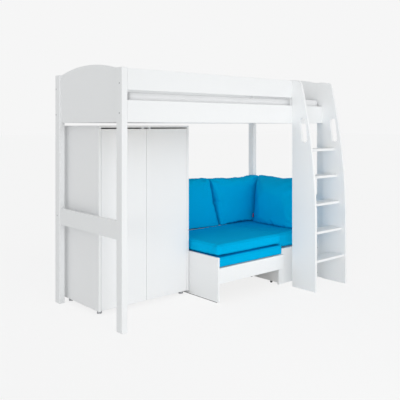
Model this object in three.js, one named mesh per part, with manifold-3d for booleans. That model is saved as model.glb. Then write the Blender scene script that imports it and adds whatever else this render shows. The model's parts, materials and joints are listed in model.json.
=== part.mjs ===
// High sleeper bed with a ladder, a wardrobe and a pull-out corner seat underneath.
// Millimetres, +Z up. Pieces are placed from the head end's outer corner on the bed's front plane:
// x runs along the bed, y runs towards the back, the ladder stands at negative y.
// The finished group is shifted so that its origin is the middle of its footprint on the floor.
import * as THREE from 'three';
import { mergeVertices } from 'three/addons/utils/BufferGeometryUtils.js';
import Module from 'manifold-3d';

const wasm = await Module();
wasm.setup();

// Mattress, which sets the size of the bed
const mattressLength = 2055;
const mattressWidth = 900;
const mattressHeight = 150;
const mattressCrown = 4;
const mattressHeadRoom = 90;
const mattressFootRoom = 55;
const mattressSideRoom = 50;

// Bed frame
const postWidth = 45;
const postDepth = 73;
const postHeight = 1820;
const postEase = 3;
const boardEase = 1;
const guardDrop = 6;
const guardHeight = 150;
const guardGap = 69;
const sideRailHeight = 155;
const railThickness = 22;
const endPanelThickness = 20;
const endPanelInset = 12;
const archRise = 46;
const archShoulder = 26;
const lowerRailBottom = 632;
const lowerRailHeight = 130;
const lowerRailInset = 4;
const ledgerRise = 22;
const ledgerSection = 26;
const slatCount = 14;
const slatWidth = 70;
const slatThickness = 18;
const slatClearance = 1;
const tapeWidth = 25;
const tapeThickness = 1.2;
const tapeFromEdge = 150;
const seat = 0.3;

// Ladder
const ladderDepth = 264;
const ladderDrop = 10;
const ladderFromEnd = 36;
const ladderInside = 397;
const stringerThickness = 20;
const curveStart = 560;
const curveEndDrop = 40;
const curveEndDepth = 106;
const topRound = 36;
const topRoundPull = new THREE.Vector2(8, 4);
const slotWidth = 62;
const slotLength = 216;
const slotDrop = 432;
const slotFromBack = 131;
const slotLean = 0.13;
const treadCount = 5;
const treadFirst = 262.5;
const treadBelowSlot = 58;
const treadDepth = 140;
const treadThickness = 22;
const treadInset = 14;
const treadSlope = 0.111;
const treadEase = 2;
const uprightWidth = 45;
const uprightThickness = 18;
const uprightPast = 6;

// Wardrobe
const wardrobeFromPost = 33;
const wardrobeFromBack = 1;
const wardrobeBelowRail = 22;
const wardrobeWidth = 848;
const wardrobeDepth = 550;
const footHeight = 30;
const footRadius = 19;
const footInset = 40;
const footInsetFront = 20;
const footEase = 1;
const footRim = 4;
const footRimHeight = 5;
const wardrobeSide = 20;
const wardrobeTopBoard = 15;
const wardrobeShelfBoard = 18;
const wardrobeBackBoard = 4;
const wardrobeBackInset = 2;
const wardrobeBackEase = 0.5;
const doorThickness = 18;
const doorGap = 2;
const doorTopGap = 10;
const shelfDrop = 228;
const shelfSetBack = 60;
const hangingRailRadius = 12.5;
const hangingRailWall = 1.5;
const hangingRailDrop = 45;
const flangeRadius = 20;
const flangeThickness = 4;
const hingeFromEnd = 110;
const cupRadius = 17.5;
const cupFromEdge = 24;
const cupHeight = 8;
const armHeight = 18;
const armThickness = 12;
const armPast = 8;
const armSunk = 3;

// Pull-out seat
const chairGap = 4;
const chairFront = 76;
const chairPast = 16;
const chairRightGap = 6;
const chairBackGap = 12;
const chairSideThickness = 16;
const chairSideHeight = 361;
const chairSideRound = 8;
const glideHeight = 5;
const glideInset = 20;
const glideSideInset = 2;
const chairRailThickness = 18;
const chairRailBottom = 150;
const chairRailHeight = 125;
const chairSlatCount = 6;
const chairSlatWidth = 90;
const chairSlatMargin = 12;
const foamTopRoom = 1;
const foamFrontInset = 3;
const foamSideGap = 0.5;
const foamBackGap = 1;
const foamCrown = 3;
const seatCushionGap = 5;
const seatCushionHeight = 94;
const seatCrown = 8;
const seatCushionPast = 2;
const legWidth = 29;
const legDepth = 45;
const legBack = 470;

// Fixed corner unit
const unitWidth = 515;
const unitFront = 123;
const unitHeight = 314;
const unitBoard = 18;
const returnLength = 94;
const unitLift = 15;
const unitJoint = 2;
const sideBoardInset = 6;
const boardsHeight = 720;
const backBoardInset = 40;
const ledgeDepth = 160;
const ledgeRise = 1;
const ledgeGap = 5;
const endCushionEdge = 134;
const endCushionCrown = 6;
const endCushionGap = 4;
const endCushionSideGap = 1;

// Cushion edges and back cushions
const cushionCorner = 22;
const cushionDrawIn = 3;
const pillowCorner = 40;
const pillowDrawIn = 9;
const pillowRim = 104;
const endPillowRim = 100;
const pillowSlump = 0.8;
const backCushionLeftGap = 3;
const backCushionRightGap = 6;
const backCushionSeam = 2;
const backCushionHeights = { left: 462, right: 450 };
const backCushionThickness = 162;
const backCushionGap = 0.3;
const backSplitBottomPast = 95;
const backSplitTopPast = 205;
const endBackHeight = 458;
const endBackThickness = 214;
const endBackFrontInset = 8.7;
const cornerGap = 8;

// Sizes that follow from the ones above
const bedLength = mattressLength + mattressHeadRoom + mattressFootRoom;
const bedDepth = mattressWidth + 2 * mattressSideRoom;
const guardTop = postHeight - guardDrop;
const guardBottom = guardTop - guardHeight;
const sideRailTop = guardBottom - guardGap;
const sideRailBottom = sideRailTop - sideRailHeight;
const ledgerBottom = sideRailBottom + ledgerRise;
const slatBottom = ledgerBottom + ledgerSection;
const slatTop = slatBottom + slatThickness;
const ladderHeight = postHeight - ladderDrop;
const stringerRight = bedLength - ladderFromEnd - stringerThickness;
const stringerLeft = stringerRight - ladderInside - stringerThickness;
const curveEnd = ladderHeight - curveEndDrop;
const slotHeight = ladderHeight - slotDrop;
const treadLast = slotHeight - slotLength / 2 - treadBelowSlot;
const treadSpacing = (treadLast - treadFirst) / (treadCount - 1);
const guardEnd = stringerLeft + uprightPast + uprightWidth;
const wardrobeLeft = postWidth + wardrobeFromPost;
const wardrobeRight = wardrobeLeft + wardrobeWidth;
const wardrobeBack = bedDepth - wardrobeFromBack;
const wardrobeFront = wardrobeBack - wardrobeDepth;
const wardrobeHeight = sideRailBottom - wardrobeBelowRail;
const shelfHeight = wardrobeHeight - shelfDrop;
const wardrobeInnerLeft = wardrobeLeft + wardrobeSide;
const wardrobeInnerRight = wardrobeRight - wardrobeSide;
const wardrobeInnerTop = wardrobeHeight - wardrobeTopBoard;
const backBoardPlane = wardrobeBack - wardrobeBackInset - wardrobeBackBoard;
const doorWidth = (wardrobeInnerRight - wardrobeInnerLeft - 3 * doorGap) / 2;
const doorBottom = footHeight + doorGap;
const doorTop = wardrobeInnerTop - doorTopGap;
const unitLeft = bedLength - unitWidth;
const backBoardFront = bedDepth - backBoardInset;
const ledgeFront = backBoardFront - ledgeDepth;
const ledgeHeight = unitHeight + endCushionEdge + endCushionCrown + ledgeRise;
const chairLeft = wardrobeRight + chairGap;
const chairInnerLeft = chairLeft + chairSideThickness;
const chairRight = unitLeft + chairPast;
const chairInnerRight = unitLeft - chairRightGap;
const chairBack = ledgeFront - chairBackGap;
const chairRailTop = chairRailBottom + chairRailHeight;
const chairRightBoard = chairInnerRight - chairSideThickness;
const foamHeight = chairSideHeight - chairRailTop - foamCrown - foamTopRoom;
const endBoardRight = bedLength - lowerRailInset - endPanelThickness;
const endBoardLeft = bedLength - postWidth;
const unitTopUnderside = unitHeight - unitBoard;
const sideBoardLeft = unitLeft + sideBoardInset;
const backCushionBottom = ledgeHeight + seat;

const whitePaint = { color: 0xf1f2f4, roughness: 0.42, metalness: 0 };
const whiteBoard = { color: 0xebedef, roughness: 0.5, metalness: 0 };
const blueFabric = { color: 0x0093cf, roughness: 0.92, metalness: 0 };
const whiteFabric = { color: 0xe9e9ea, roughness: 0.95, metalness: 0 };
const bareWood = { color: 0xd8bd92, roughness: 0.7, metalness: 0 };
const steel = { color: 0xb9bcc0, roughness: 0.3, metalness: 0.9 };
const blackPlastic = { color: 0x17181a, roughness: 0.6, metalness: 0 };

const highSleeper = new THREE.Group();
const placed = new THREE.Group();
highSleeper.add(placed);
placed.position.set(-bedLength / 2, (ladderDepth - bedDepth) / 2, 0);

function addPiece(name, geometry, finish) {
  const piece = new THREE.Mesh(geometry, new THREE.MeshStandardMaterial(finish));
  piece.name = name;
  placed.add(piece);
  return piece;
}

function solidOf(geometry) {
  const bare = geometry.clone();
  bare.deleteAttribute('normal');
  bare.deleteAttribute('uv');
  const merged = mergeVertices(bare, 1e-4);
  return new wasm.Manifold(new wasm.Mesh({
    numProp: 3,
    vertProperties: Float32Array.from(merged.attributes.position.array),
    triVerts: Uint32Array.from(merged.index.array),
  }));
}

// Joins closed geometries that run into each other into one body.
function joined(geometries) {
  const mesh = geometries.map(solidOf).reduce((sum, solid) => sum.add(solid)).getMesh();
  const geometry = new THREE.BufferGeometry();
  geometry.setAttribute('position', new THREE.Float32BufferAttribute(mesh.vertProperties, 3));
  geometry.setIndex(Array.from(mesh.triVerts));
  geometry.computeVertexNormals();
  return geometry;
}

// Turns flat polygons of a convex body round the origin into triangles that face out.
function convexGeometry(polygons) {
  const positions = [];
  for (const polygon of polygons) {
    const [a, b, c] = polygon.map((corner) => new THREE.Vector3(...corner));
    const normal = b.clone().sub(a).cross(c.clone().sub(a));
    const facesOut = normal.dot(a) > 0;
    const ordered = facesOut ? polygon : [...polygon].reverse();
    for (let i = 1; i < ordered.length - 1; i += 1) {
      positions.push(...ordered[0], ...ordered[i], ...ordered[i + 1]);
    }
  }
  const geometry = new THREE.BufferGeometry();
  geometry.setAttribute('position', new THREE.Float32BufferAttribute(positions, 3));
  geometry.computeVertexNormals();
  return geometry;
}

// A box whose edges are eased by a small chamfer.
function easedBox(lengths, ease) {
  const half = lengths.map((length) => length / 2);
  const signs = [-1, 1];
  const corner = (axis, sign) => half.map((h, i) => sign[i] * (i === axis ? h : h - ease));
  const polygons = [];
  for (let axis = 0; axis < 3; axis += 1) {
    const first = (axis + 1) % 3;
    const second = (axis + 2) % 3;
    const signOf = (along, a, b) => {
      const sign = [0, 0, 0];
      sign[axis] = along;
      sign[first] = a;
      sign[second] = b;
      return sign;
    };
    for (const along of signs) {
      const ring = [[-1, -1], [1, -1], [1, 1], [-1, 1]];
      polygons.push(ring.map(([a, b]) => corner(axis, signOf(along, a, b))));
    }
    for (const a of signs) {
      for (const b of signs) {
        const low = signOf(-1, a, b);
        const high = signOf(1, a, b);
        polygons.push([corner(first, low), corner(first, high), corner(second, high), corner(second, low)]);
      }
    }
  }
  for (const x of signs) {
    for (const y of signs) {
      for (const z of signs) {
        polygons.push([0, 1, 2].map((axis) => corner(axis, [x, y, z])));
      }
    }
  }
  return convexGeometry(polygons);
}

// A board between two opposite corners.
function boardGeometry([x0, y0, z0], [x1, y1, z1], ease = boardEase) {
  const geometry = easedBox([x1 - x0, y1 - y0, z1 - z0], ease);
  return geometry.translate((x0 + x1) / 2, (y0 + y1) / 2, (z0 + z1) / 2);
}

function addBoard(name, low, high, finish, ease = boardEase) {
  return addPiece(name, boardGeometry(low, high, ease), finish);
}

// A panel cut from a side view: the shape's x is the bed's y, its y is the height.
function sideCut(shape, thickness, ease, curveSegments = 24) {
  const geometry = new THREE.ExtrudeGeometry(shape, {
    depth: thickness - 2 * ease,
    bevelEnabled: true,
    bevelThickness: ease,
    bevelSize: ease,
    bevelOffset: -ease,
    bevelSegments: 1,
    curveSegments,
  });
  geometry.translate(0, 0, ease);
  const turn = new THREE.Matrix4().makeBasis(
    new THREE.Vector3(0, 1, 0),
    new THREE.Vector3(0, 0, 1),
    new THREE.Vector3(1, 0, 0),
  );
  return geometry.applyMatrix4(turn);
}

// The outline of a cushion: four corners in anticlockwise order, rounded, with drawn-in sides.
function cushionOutline(corners, radius, drawIn) {
  const sideSteps = 8;
  const cornerSteps = 4;
  const points = [];
  corners.forEach((corner, i) => {
    const next = corners[(i + 1) % corners.length];
    const after = corners[(i + 2) % corners.length];
    const along = next.clone().sub(corner).normalize();
    const turned = after.clone().sub(next).normalize();
    const inward = new THREE.Vector2(-along.y, along.x);
    const start = corner.clone().addScaledVector(along, radius);
    const end = next.clone().addScaledVector(along, -radius);
    for (let k = 0; k <= sideSteps; k += 1) {
      const t = k / sideSteps;
      const pull = drawIn * Math.sin(Math.PI * t);
      points.push(start.clone().lerp(end, t).addScaledVector(inward, pull));
    }
    const bend = new THREE.QuadraticBezierCurve(end, next, next.clone().addScaledVector(turned, radius));
    for (let k = 1; k < cornerSteps; k += 1) {
      points.push(bend.getPoint(k / cornerSteps));
    }
  });
  return points;
}

// A cushion is rings of its outline, each shrunk towards the middle and set at its own height.
// Where it slumps, a ring stands higher the nearer it is to the outline's lower side.
function cushionGeometry(outline, rings, lowest, highest, slump = 0) {
  const levels = outline.map((point) => point.y);
  const base = Math.min(...levels);
  const rise = Math.max(...levels) - base;
  const middle = outline.reduce((sum, point) => sum.add(point), new THREE.Vector2());
  middle.divideScalar(outline.length);
  const vertices = [];
  for (const [shrink, height] of rings) {
    for (const point of outline) {
      const drawn = point.clone().lerp(middle, shrink);
      const share = (1 - (drawn.y - base) / rise) * (1 - shrink) ** 3;
      vertices.push(drawn.x, drawn.y, height * (1 + slump * share));
    }
  }
  const count = outline.length;
  const bottomCentre = rings.length * count;
  const topCentre = bottomCentre + 1;
  vertices.push(middle.x, middle.y, lowest, middle.x, middle.y, highest);
  const index = [];
  for (let i = 0; i < count; i += 1) {
    const next = (i + 1) % count;
    const lastRing = (rings.length - 1) * count;
    index.push(bottomCentre, next, i);
    index.push(topCentre, lastRing + i, lastRing + next);
    for (let ring = 0; ring < rings.length - 1; ring += 1) {
      const low = ring * count;
      const high = low + count;
      index.push(low + i, low + next, high + next, low + i, high + next, high + i);
    }
  }
  const geometry = new THREE.BufferGeometry();
  geometry.setAttribute('position', new THREE.Float32BufferAttribute(vertices, 3));
  geometry.setIndex(index);
  geometry.computeVertexNormals();
  return geometry;
}

const crownShrinks = [0.03, 0.1, 0.22, 0.4, 0.66];

function crownRings(edge, crown) {
  return crownShrinks.map((shrink) => [shrink, edge + crown * (1 - (1 - shrink) ** 3)]);
}

// A flat-lying cushion: flat underneath, sides pulled in between its two seams, crowned on top.
function seatCushion([x0, y0, z0], [x1, y1], edge, crown) {
  const outline = cushionOutline(
    [[x0, y0], [x1, y0], [x1, y1], [x0, y1]].map(([x, y]) => new THREE.Vector2(x, y)),
    cushionCorner,
    cushionDrawIn,
  );
  const rings = [
    [0.045, 0],
    [0.012, edge * 0.06],
    [0.004, edge * 0.14],
    [0.011, edge * 0.5],
    [0.003, edge * 0.88],
    [0, edge * 0.95],
    ...crownRings(edge, crown),
  ];
  return cushionGeometry(outline, rings, 0, edge + crown).translate(0, 0, z0);
}

// A standing pillow with a flat back: its front swells from a soft rim and sags onto its lower side.
function pillow(corners, thickness, rim) {
  const outline = cushionOutline(corners, pillowCorner, pillowDrawIn);
  const crown = thickness - rim;
  const rings = [[0.05, 0], [0.012, rim * 0.1], [0, rim * 0.3], [0, rim * 0.7], ...crownRings(rim, crown)];
  return cushionGeometry(outline, rings, 0, thickness, pillowSlump * crown / rim);
}

const turnForward = new THREE.Matrix4().makeBasis(
  new THREE.Vector3(1, 0, 0),
  new THREE.Vector3(0, 0, 1),
  new THREE.Vector3(0, -1, 0),
);
const turnSideways = new THREE.Matrix4().makeBasis(
  new THREE.Vector3(0, -1, 0),
  new THREE.Vector3(0, 0, 1),
  new THREE.Vector3(-1, 0, 0),
);

function addPosts() {
  const right = bedLength - postWidth;
  const back = bedDepth - postDepth;
  const places = {
    front_left: [0, 0],
    front_right: [right, 0],
    back_left: [0, back],
    back_right: [right, back],
  };
  for (const [place, [x, y]] of Object.entries(places)) {
    addBoard(`post_${place}`, [x, y, 0], [x + postWidth, y + postDepth, postHeight], whitePaint, postEase);
  }
}

// The end panels stand between the posts, and their top edge is one shallow arc.
function addEndPanels() {
  const near = postDepth;
  const far = bedDepth - postDepth;
  const middle = bedDepth / 2;
  const chord = middle - near - archShoulder;
  const radius = (chord * chord + archRise * archRise) / (2 * archRise);
  const centreHeight = postHeight + archRise - radius;
  const opening = Math.asin(chord / radius);
  const shape = new THREE.Shape();
  shape.moveTo(near, sideRailBottom);
  shape.lineTo(far, sideRailBottom);
  shape.lineTo(far, postHeight);
  shape.lineTo(far - archShoulder, postHeight);
  shape.absarc(middle, centreHeight, radius, Math.PI / 2 - opening, Math.PI / 2 + opening, false);
  shape.lineTo(near, postHeight);
  shape.closePath();
  const headboard = addPiece('headboard_panel', sideCut(shape, endPanelThickness, boardEase), whitePaint);
  headboard.position.x = endPanelInset;
  const footboard = addPiece('footboard_panel', sideCut(shape, endPanelThickness, boardEase), whitePaint);
  footboard.position.x = bedLength - endPanelInset - endPanelThickness;
}

function addLowerRails() {
  const lefts = { head: lowerRailInset, foot: endBoardRight };
  for (const [place, left] of Object.entries(lefts)) {
    addBoard(
      `lower_rail_${place}`,
      [left, postDepth, lowerRailBottom],
      [left + endPanelThickness, bedDepth - postDepth, lowerRailBottom + lowerRailHeight],
      whitePaint,
    );
  }
}

function addSideRails() {
  const left = postWidth;
  const right = bedLength - postWidth;
  const backPlane = bedDepth - railThickness;
  addBoard('side_rail_front', [left, 0, sideRailBottom], [right, railThickness, sideRailTop], whitePaint);
  addBoard('side_rail_back', [left, backPlane, sideRailBottom], [right, bedDepth, sideRailTop], whitePaint);
  addBoard('guard_rail_front', [left, 0, guardBottom], [guardEnd, railThickness, guardTop], whitePaint);
  addBoard('guard_rail_back', [left, backPlane, guardBottom], [right, bedDepth, guardTop], whitePaint);
  addBoard(
    'guard_upright',
    [guardEnd - uprightWidth, railThickness, slatTop + slatClearance],
    [guardEnd, railThickness + uprightThickness, guardTop],
    whitePaint,
  );
}

// A webbing tape stapled under a row of slats, which keeps them apart.
function tape([x0, y0], [x1, y1], underside) {
  const ease = tapeThickness / 4;
  return boardGeometry([x0, y0, underside - tapeThickness], [x1, y1, underside + tapeThickness], ease);
}

function addMattressBase() {
  const left = postWidth;
  const right = bedLength - postWidth;
  const near = railThickness;
  const far = bedDepth - railThickness;
  const nearInside = near + ledgerSection;
  const farInside = far - ledgerSection;
  addBoard('ledger_front', [left, near, ledgerBottom], [right, nearInside, slatBottom], whitePaint);
  addBoard('ledger_back', [left, farInside, ledgerBottom], [right, far, slatBottom], whitePaint);
  const mattressLeft = mattressHeadRoom;
  const pitch = (mattressLength - slatWidth) / (slatCount - 1);
  const slats = [];
  for (let i = 0; i < slatCount; i += 1) {
    const x = mattressLeft + i * pitch;
    slats.push(boardGeometry(
      [x, near + slatClearance, slatBottom],
      [x + slatWidth, far - slatClearance, slatTop],
    ));
  }
  const lastSlat = mattressLeft + mattressLength;
  const tapes = [near + tapeFromEdge, far - tapeFromEdge - tapeWidth].map((y) => (
    tape([mattressLeft, y], [lastSlat, y + tapeWidth], slatBottom)
  ));
  addPiece('bed_slats', joined([...slats, ...tapes]), bareWood);
  const mattressFront = mattressSideRoom;
  addPiece('mattress', seatCushion(
    [mattressLeft, mattressFront, slatTop + seat],
    [mattressLeft + mattressLength, mattressFront + mattressWidth],
    mattressHeight - mattressCrown,
    mattressCrown,
  ), whiteFabric);
}

// A stringer seen from the side: upright low down, then swept back in a parabola to a rounded top.
function stringerShape() {
  const shape = new THREE.Shape();
  shape.moveTo(0, 0);
  shape.lineTo(0, ladderHeight);
  shape.lineTo(-curveEndDepth + topRound, ladderHeight);
  shape.quadraticCurveTo(
    -curveEndDepth + topRoundPull.x,
    ladderHeight - topRoundPull.y,
    -curveEndDepth,
    curveEnd,
  );
  shape.quadraticCurveTo(-ladderDepth, (curveStart + curveEnd) / 2, -ladderDepth, curveStart);
  shape.lineTo(-ladderDepth, 0);
  shape.closePath();
  const slot = new THREE.Path();
  const end = slotLength / 2 - slotWidth / 2;
  const lean = new THREE.Vector2(Math.sin(slotLean), Math.cos(slotLean)).multiplyScalar(end);
  const right = -slotLean;
  const left = Math.PI - slotLean;
  slot.absarc(-slotFromBack + lean.x, slotHeight + lean.y, slotWidth / 2, right, left, false);
  slot.absarc(-slotFromBack - lean.x, slotHeight - lean.y, slotWidth / 2, left, 2 * Math.PI + right, false);
  slot.closePath();
  shape.holes.push(slot);
  return shape;
}

function addLadder() {
  const lefts = { left: stringerLeft, right: stringerRight };
  for (const [place, left] of Object.entries(lefts)) {
    const geometry = sideCut(stringerShape(), stringerThickness, boardEase, 14);
    addPiece(`ladder_stringer_${place}`, geometry, whitePaint).position.x = left;
  }
  for (let i = 0; i < treadCount; i += 1) {
    const top = treadFirst + i * treadSpacing;
    const front = -ladderDepth + treadInset + treadSlope * i * treadSpacing;
    addBoard(
      `ladder_tread_${i + 1}`,
      [stringerLeft + stringerThickness, front, top - treadThickness],
      [stringerRight, front + treadDepth, top],
      whitePaint,
      treadEase,
    );
  }
}

function addWardrobeCarcass() {
  const left = wardrobeLeft;
  const right = wardrobeRight;
  const front = wardrobeFront;
  const back = wardrobeBack;
  const top = wardrobeInnerTop;
  addBoard('wardrobe_side_left', [left, front, footHeight], [wardrobeInnerLeft, back, top], whiteBoard);
  addBoard('wardrobe_side_right', [wardrobeInnerRight, front, footHeight], [right, back, top], whiteBoard);
  addBoard('wardrobe_top', [left, front, top], [right, back, wardrobeHeight], whiteBoard);
  const inner = [wardrobeInnerLeft, wardrobeInnerRight];
  const behindDoors = front + doorThickness + doorGap;
  addBoard(
    'wardrobe_bottom',
    [inner[0], behindDoors, footHeight],
    [inner[1], backBoardPlane, footHeight + wardrobeShelfBoard],
    whiteBoard,
  );
  addBoard(
    'wardrobe_back',
    [inner[0], backBoardPlane, footHeight],
    [inner[1], backBoardPlane + wardrobeBackBoard, top],
    whiteBoard,
    wardrobeBackEase,
  );
  addBoard(
    'wardrobe_shelf',
    [inner[0], behindDoors + shelfSetBack, shelfHeight],
    [inner[1], backBoardPlane, shelfHeight + wardrobeShelfBoard],
    whiteBoard,
  );
}

function latheAlongX(profile, sides = 20) {
  return new THREE.LatheGeometry(profile, sides).rotateZ(-Math.PI / 2);
}

// The hanging rail is a tube with a flange at each end, screwed to the sides.
function addHangingRail() {
  const y = (wardrobeFront + doorThickness + backBoardPlane) / 2;
  const z = shelfHeight - hangingRailDrop;
  const length = wardrobeInnerRight - wardrobeInnerLeft - 2 * seat;
  const inside = hangingRailRadius - hangingRailWall;
  const profile = [
    [inside, 0],
    [flangeRadius, 0],
    [flangeRadius, flangeThickness],
    [hangingRailRadius, flangeThickness],
    [hangingRailRadius, length - flangeThickness],
    [flangeRadius, length - flangeThickness],
    [flangeRadius, length],
    [inside, length],
    [inside, 0],
  ];
  const rail = latheAlongX(profile.map(([r, h]) => new THREE.Vector2(r, h)));
  addPiece('hanging_rail', rail.translate(wardrobeInnerLeft + seat, y, z), steel);
}

function addWardrobeFeet() {
  const profile = [
    [0, 0],
    [footRadius - footEase, 0],
    [footRadius, footEase],
    [footRadius, footHeight - footRimHeight],
    [footRadius + footRim, footHeight - footRimHeight / 2],
    [footRadius + footRim, footHeight],
    [0, footHeight],
  ].map(([r, h]) => new THREE.Vector2(r, h));
  const xs = { left: wardrobeLeft + footInset, right: wardrobeRight - footInset };
  const ys = { front: wardrobeFront + footInset + footInsetFront, back: wardrobeBack - footInset };
  for (const [side, x] of Object.entries(xs)) {
    for (const [end, y] of Object.entries(ys)) {
      const foot = new THREE.LatheGeometry(profile, 20).rotateX(Math.PI / 2).translate(x, y, 0);
      addPiece(`wardrobe_foot_${end}_${side}`, foot, steel);
    }
  }
}

// A hinge is a cup on the door's back and an arm that reaches the wardrobe's side.
function hingeGeometry(cupX, armEnd, z) {
  const behind = wardrobeFront + doorThickness;
  const armLow = Math.min(armEnd, cupX);
  const armHigh = Math.max(armEnd, cupX);
  const near = behind + cupHeight - armSunk;
  const arm = boardGeometry(
    [armLow - (armLow === cupX ? armPast : 0), near, z - armHeight / 2],
    [armHigh + (armHigh === cupX ? armPast : 0), near + armThickness, z + armHeight / 2],
  );
  const cup = new THREE.CylinderGeometry(cupRadius, cupRadius, cupHeight, 20);
  return joined([cup.translate(cupX, behind + cupHeight / 2, z), arm]);
}

function addDoors() {
  const leftEdge = wardrobeInnerLeft + doorGap;
  const rightEdge = wardrobeInnerRight - doorGap;
  const hung = {
    left: { from: leftEdge, cup: leftEdge + cupFromEdge, arm: wardrobeInnerLeft + seat },
    right: { from: rightEdge - doorWidth, cup: rightEdge - cupFromEdge, arm: wardrobeInnerRight - seat },
  };
  for (const [side, { from, cup, arm }] of Object.entries(hung)) {
    addBoard(
      `door_${side}`,
      [from, wardrobeFront, doorBottom],
      [from + doorWidth, wardrobeFront + doorThickness, doorTop],
      whiteBoard,
    );
    const heights = { top: doorTop - hingeFromEnd, bottom: doorBottom + hingeFromEnd };
    for (const [end, z] of Object.entries(heights)) {
      addPiece(`door_${side}_hinge_${end}`, hingeGeometry(cup, arm, z), steel);
    }
  }
}

// The pull-out seat slides forward: it stands on a panel at its left and on a leg at its right.
function addChairFrame() {
  const left = chairInnerLeft;
  const railBack = chairFront + chairRailThickness;
  const sideShape = new THREE.Shape();
  sideShape.moveTo(chairFront, glideHeight);
  sideShape.lineTo(chairBack, glideHeight);
  sideShape.lineTo(chairBack, chairSideHeight);
  sideShape.lineTo(chairFront + chairSideRound, chairSideHeight);
  sideShape.quadraticCurveTo(chairFront, chairSideHeight, chairFront, chairSideHeight - chairSideRound);
  sideShape.closePath();
  const sideGeometry = sideCut(sideShape, chairSideThickness, boardEase, 6);
  addPiece('chair_side_left', sideGeometry, whitePaint).position.x = chairLeft;
  addBoard(
    'chair_side_right',
    [chairRightBoard, railBack, chairRailBottom],
    [chairInnerRight, chairBack - chairRailThickness, chairRailTop],
    whitePaint,
  );
  addBoard(
    'chair_front_rail',
    [left, chairFront, chairRailBottom],
    [chairRight, railBack, chairRailTop],
    whitePaint,
  );
  addBoard(
    'chair_back_rail',
    [left, chairBack - chairRailThickness, chairRailBottom],
    [chairInnerRight, chairBack, chairSideHeight],
    whitePaint,
  );
  const slatFront = railBack + chairSlatMargin;
  const slatBack = chairBack - chairRailThickness - chairSlatMargin;
  const underside = chairRailTop - slatThickness;
  const pitch = (slatBack - slatFront - chairSlatWidth) / (chairSlatCount - 1);
  const slats = Array.from({ length: chairSlatCount }, (_, i) => (
    boardGeometry(
      [left, slatFront + i * pitch, underside],
      [chairRightBoard, slatFront + i * pitch + chairSlatWidth, chairRailTop],
    )
  ));
  const tapes = [left + tapeFromEdge, chairRightBoard - tapeFromEdge - tapeWidth].map((x) => (
    tape([x, slatFront], [x + tapeWidth, slatBack], underside)
  ));
  addPiece('chair_slats', joined([...slats, ...tapes]), bareWood);
  addBoard(
    'chair_leg',
    [chairInnerRight - legWidth, chairFront + legBack, 0],
    [chairInnerRight, chairFront + legBack + legDepth, chairRailBottom],
    whitePaint,
  );
  addBoard(
    'chair_glide',
    [chairLeft + glideSideInset, chairFront + glideInset, 0],
    [left - glideSideInset, chairBack - glideInset, glideHeight],
    blackPlastic,
  );
}

function addChairSoftParts() {
  const left = chairInnerLeft;
  addPiece('lower_foam', seatCushion(
    [left + foamSideGap, chairFront + foamFrontInset, chairRailTop + seat],
    [chairInnerRight, chairBack - chairRailThickness - foamBackGap],
    foamHeight,
    foamCrown,
  ), blueFabric);
  addPiece('main_seat_cushion', seatCushion(
    [chairLeft, chairFront, chairSideHeight + seat],
    [unitLeft - seatCushionGap, chairBack + seatCushionPast],
    seatCushionHeight,
    seatCrown,
  ), blueFabric);
}

function addCornerUnit() {
  const behindFront = unitFront + unitBoard;
  const returnBack = behindFront + returnLength;
  const front = boardGeometry([unitLeft, unitFront, 0], [endBoardLeft, behindFront, unitHeight]);
  const returnBoard = boardGeometry(
    [unitLeft, behindFront - unitJoint, unitLift],
    [unitLeft + unitBoard, returnBack, unitTopUnderside],
  );
  addPiece('unit_front', joined([front, returnBoard]), whitePaint);
  addBoard(
    'unit_side',
    [sideBoardLeft, returnBack, unitLift],
    [sideBoardLeft + unitBoard, backBoardFront, unitTopUnderside],
    whitePaint,
  );
  addBoard(
    'unit_top',
    [unitLeft, behindFront, unitTopUnderside],
    [endBoardLeft, backBoardFront, unitHeight],
    whitePaint,
  );
  addBoard(
    'unit_end_board',
    [endBoardLeft, unitFront, 0],
    [endBoardRight, bedDepth - postDepth, boardsHeight],
    whitePaint,
  );
  addBoard(
    'unit_back_board',
    [chairLeft, backBoardFront, 0],
    [endBoardLeft, backBoardFront + unitBoard, boardsHeight],
    whitePaint,
  );
}

// The rear ledge is an angle of two boards glued as one: an apron on the floor and a top.
function addRearLedge() {
  const right = unitLeft - ledgeGap;
  const shape = new THREE.Shape();
  shape.moveTo(ledgeFront, 0);
  shape.lineTo(ledgeFront + unitBoard, 0);
  shape.lineTo(ledgeFront + unitBoard, ledgeHeight - unitBoard);
  shape.lineTo(backBoardFront, ledgeHeight - unitBoard);
  shape.lineTo(backBoardFront, ledgeHeight);
  shape.lineTo(ledgeFront, ledgeHeight);
  shape.closePath();
  const ledge = addPiece('rear_ledge', sideCut(shape, right - chairLeft, boardEase, 2), whitePaint);
  ledge.position.x = chairLeft;
}

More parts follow.
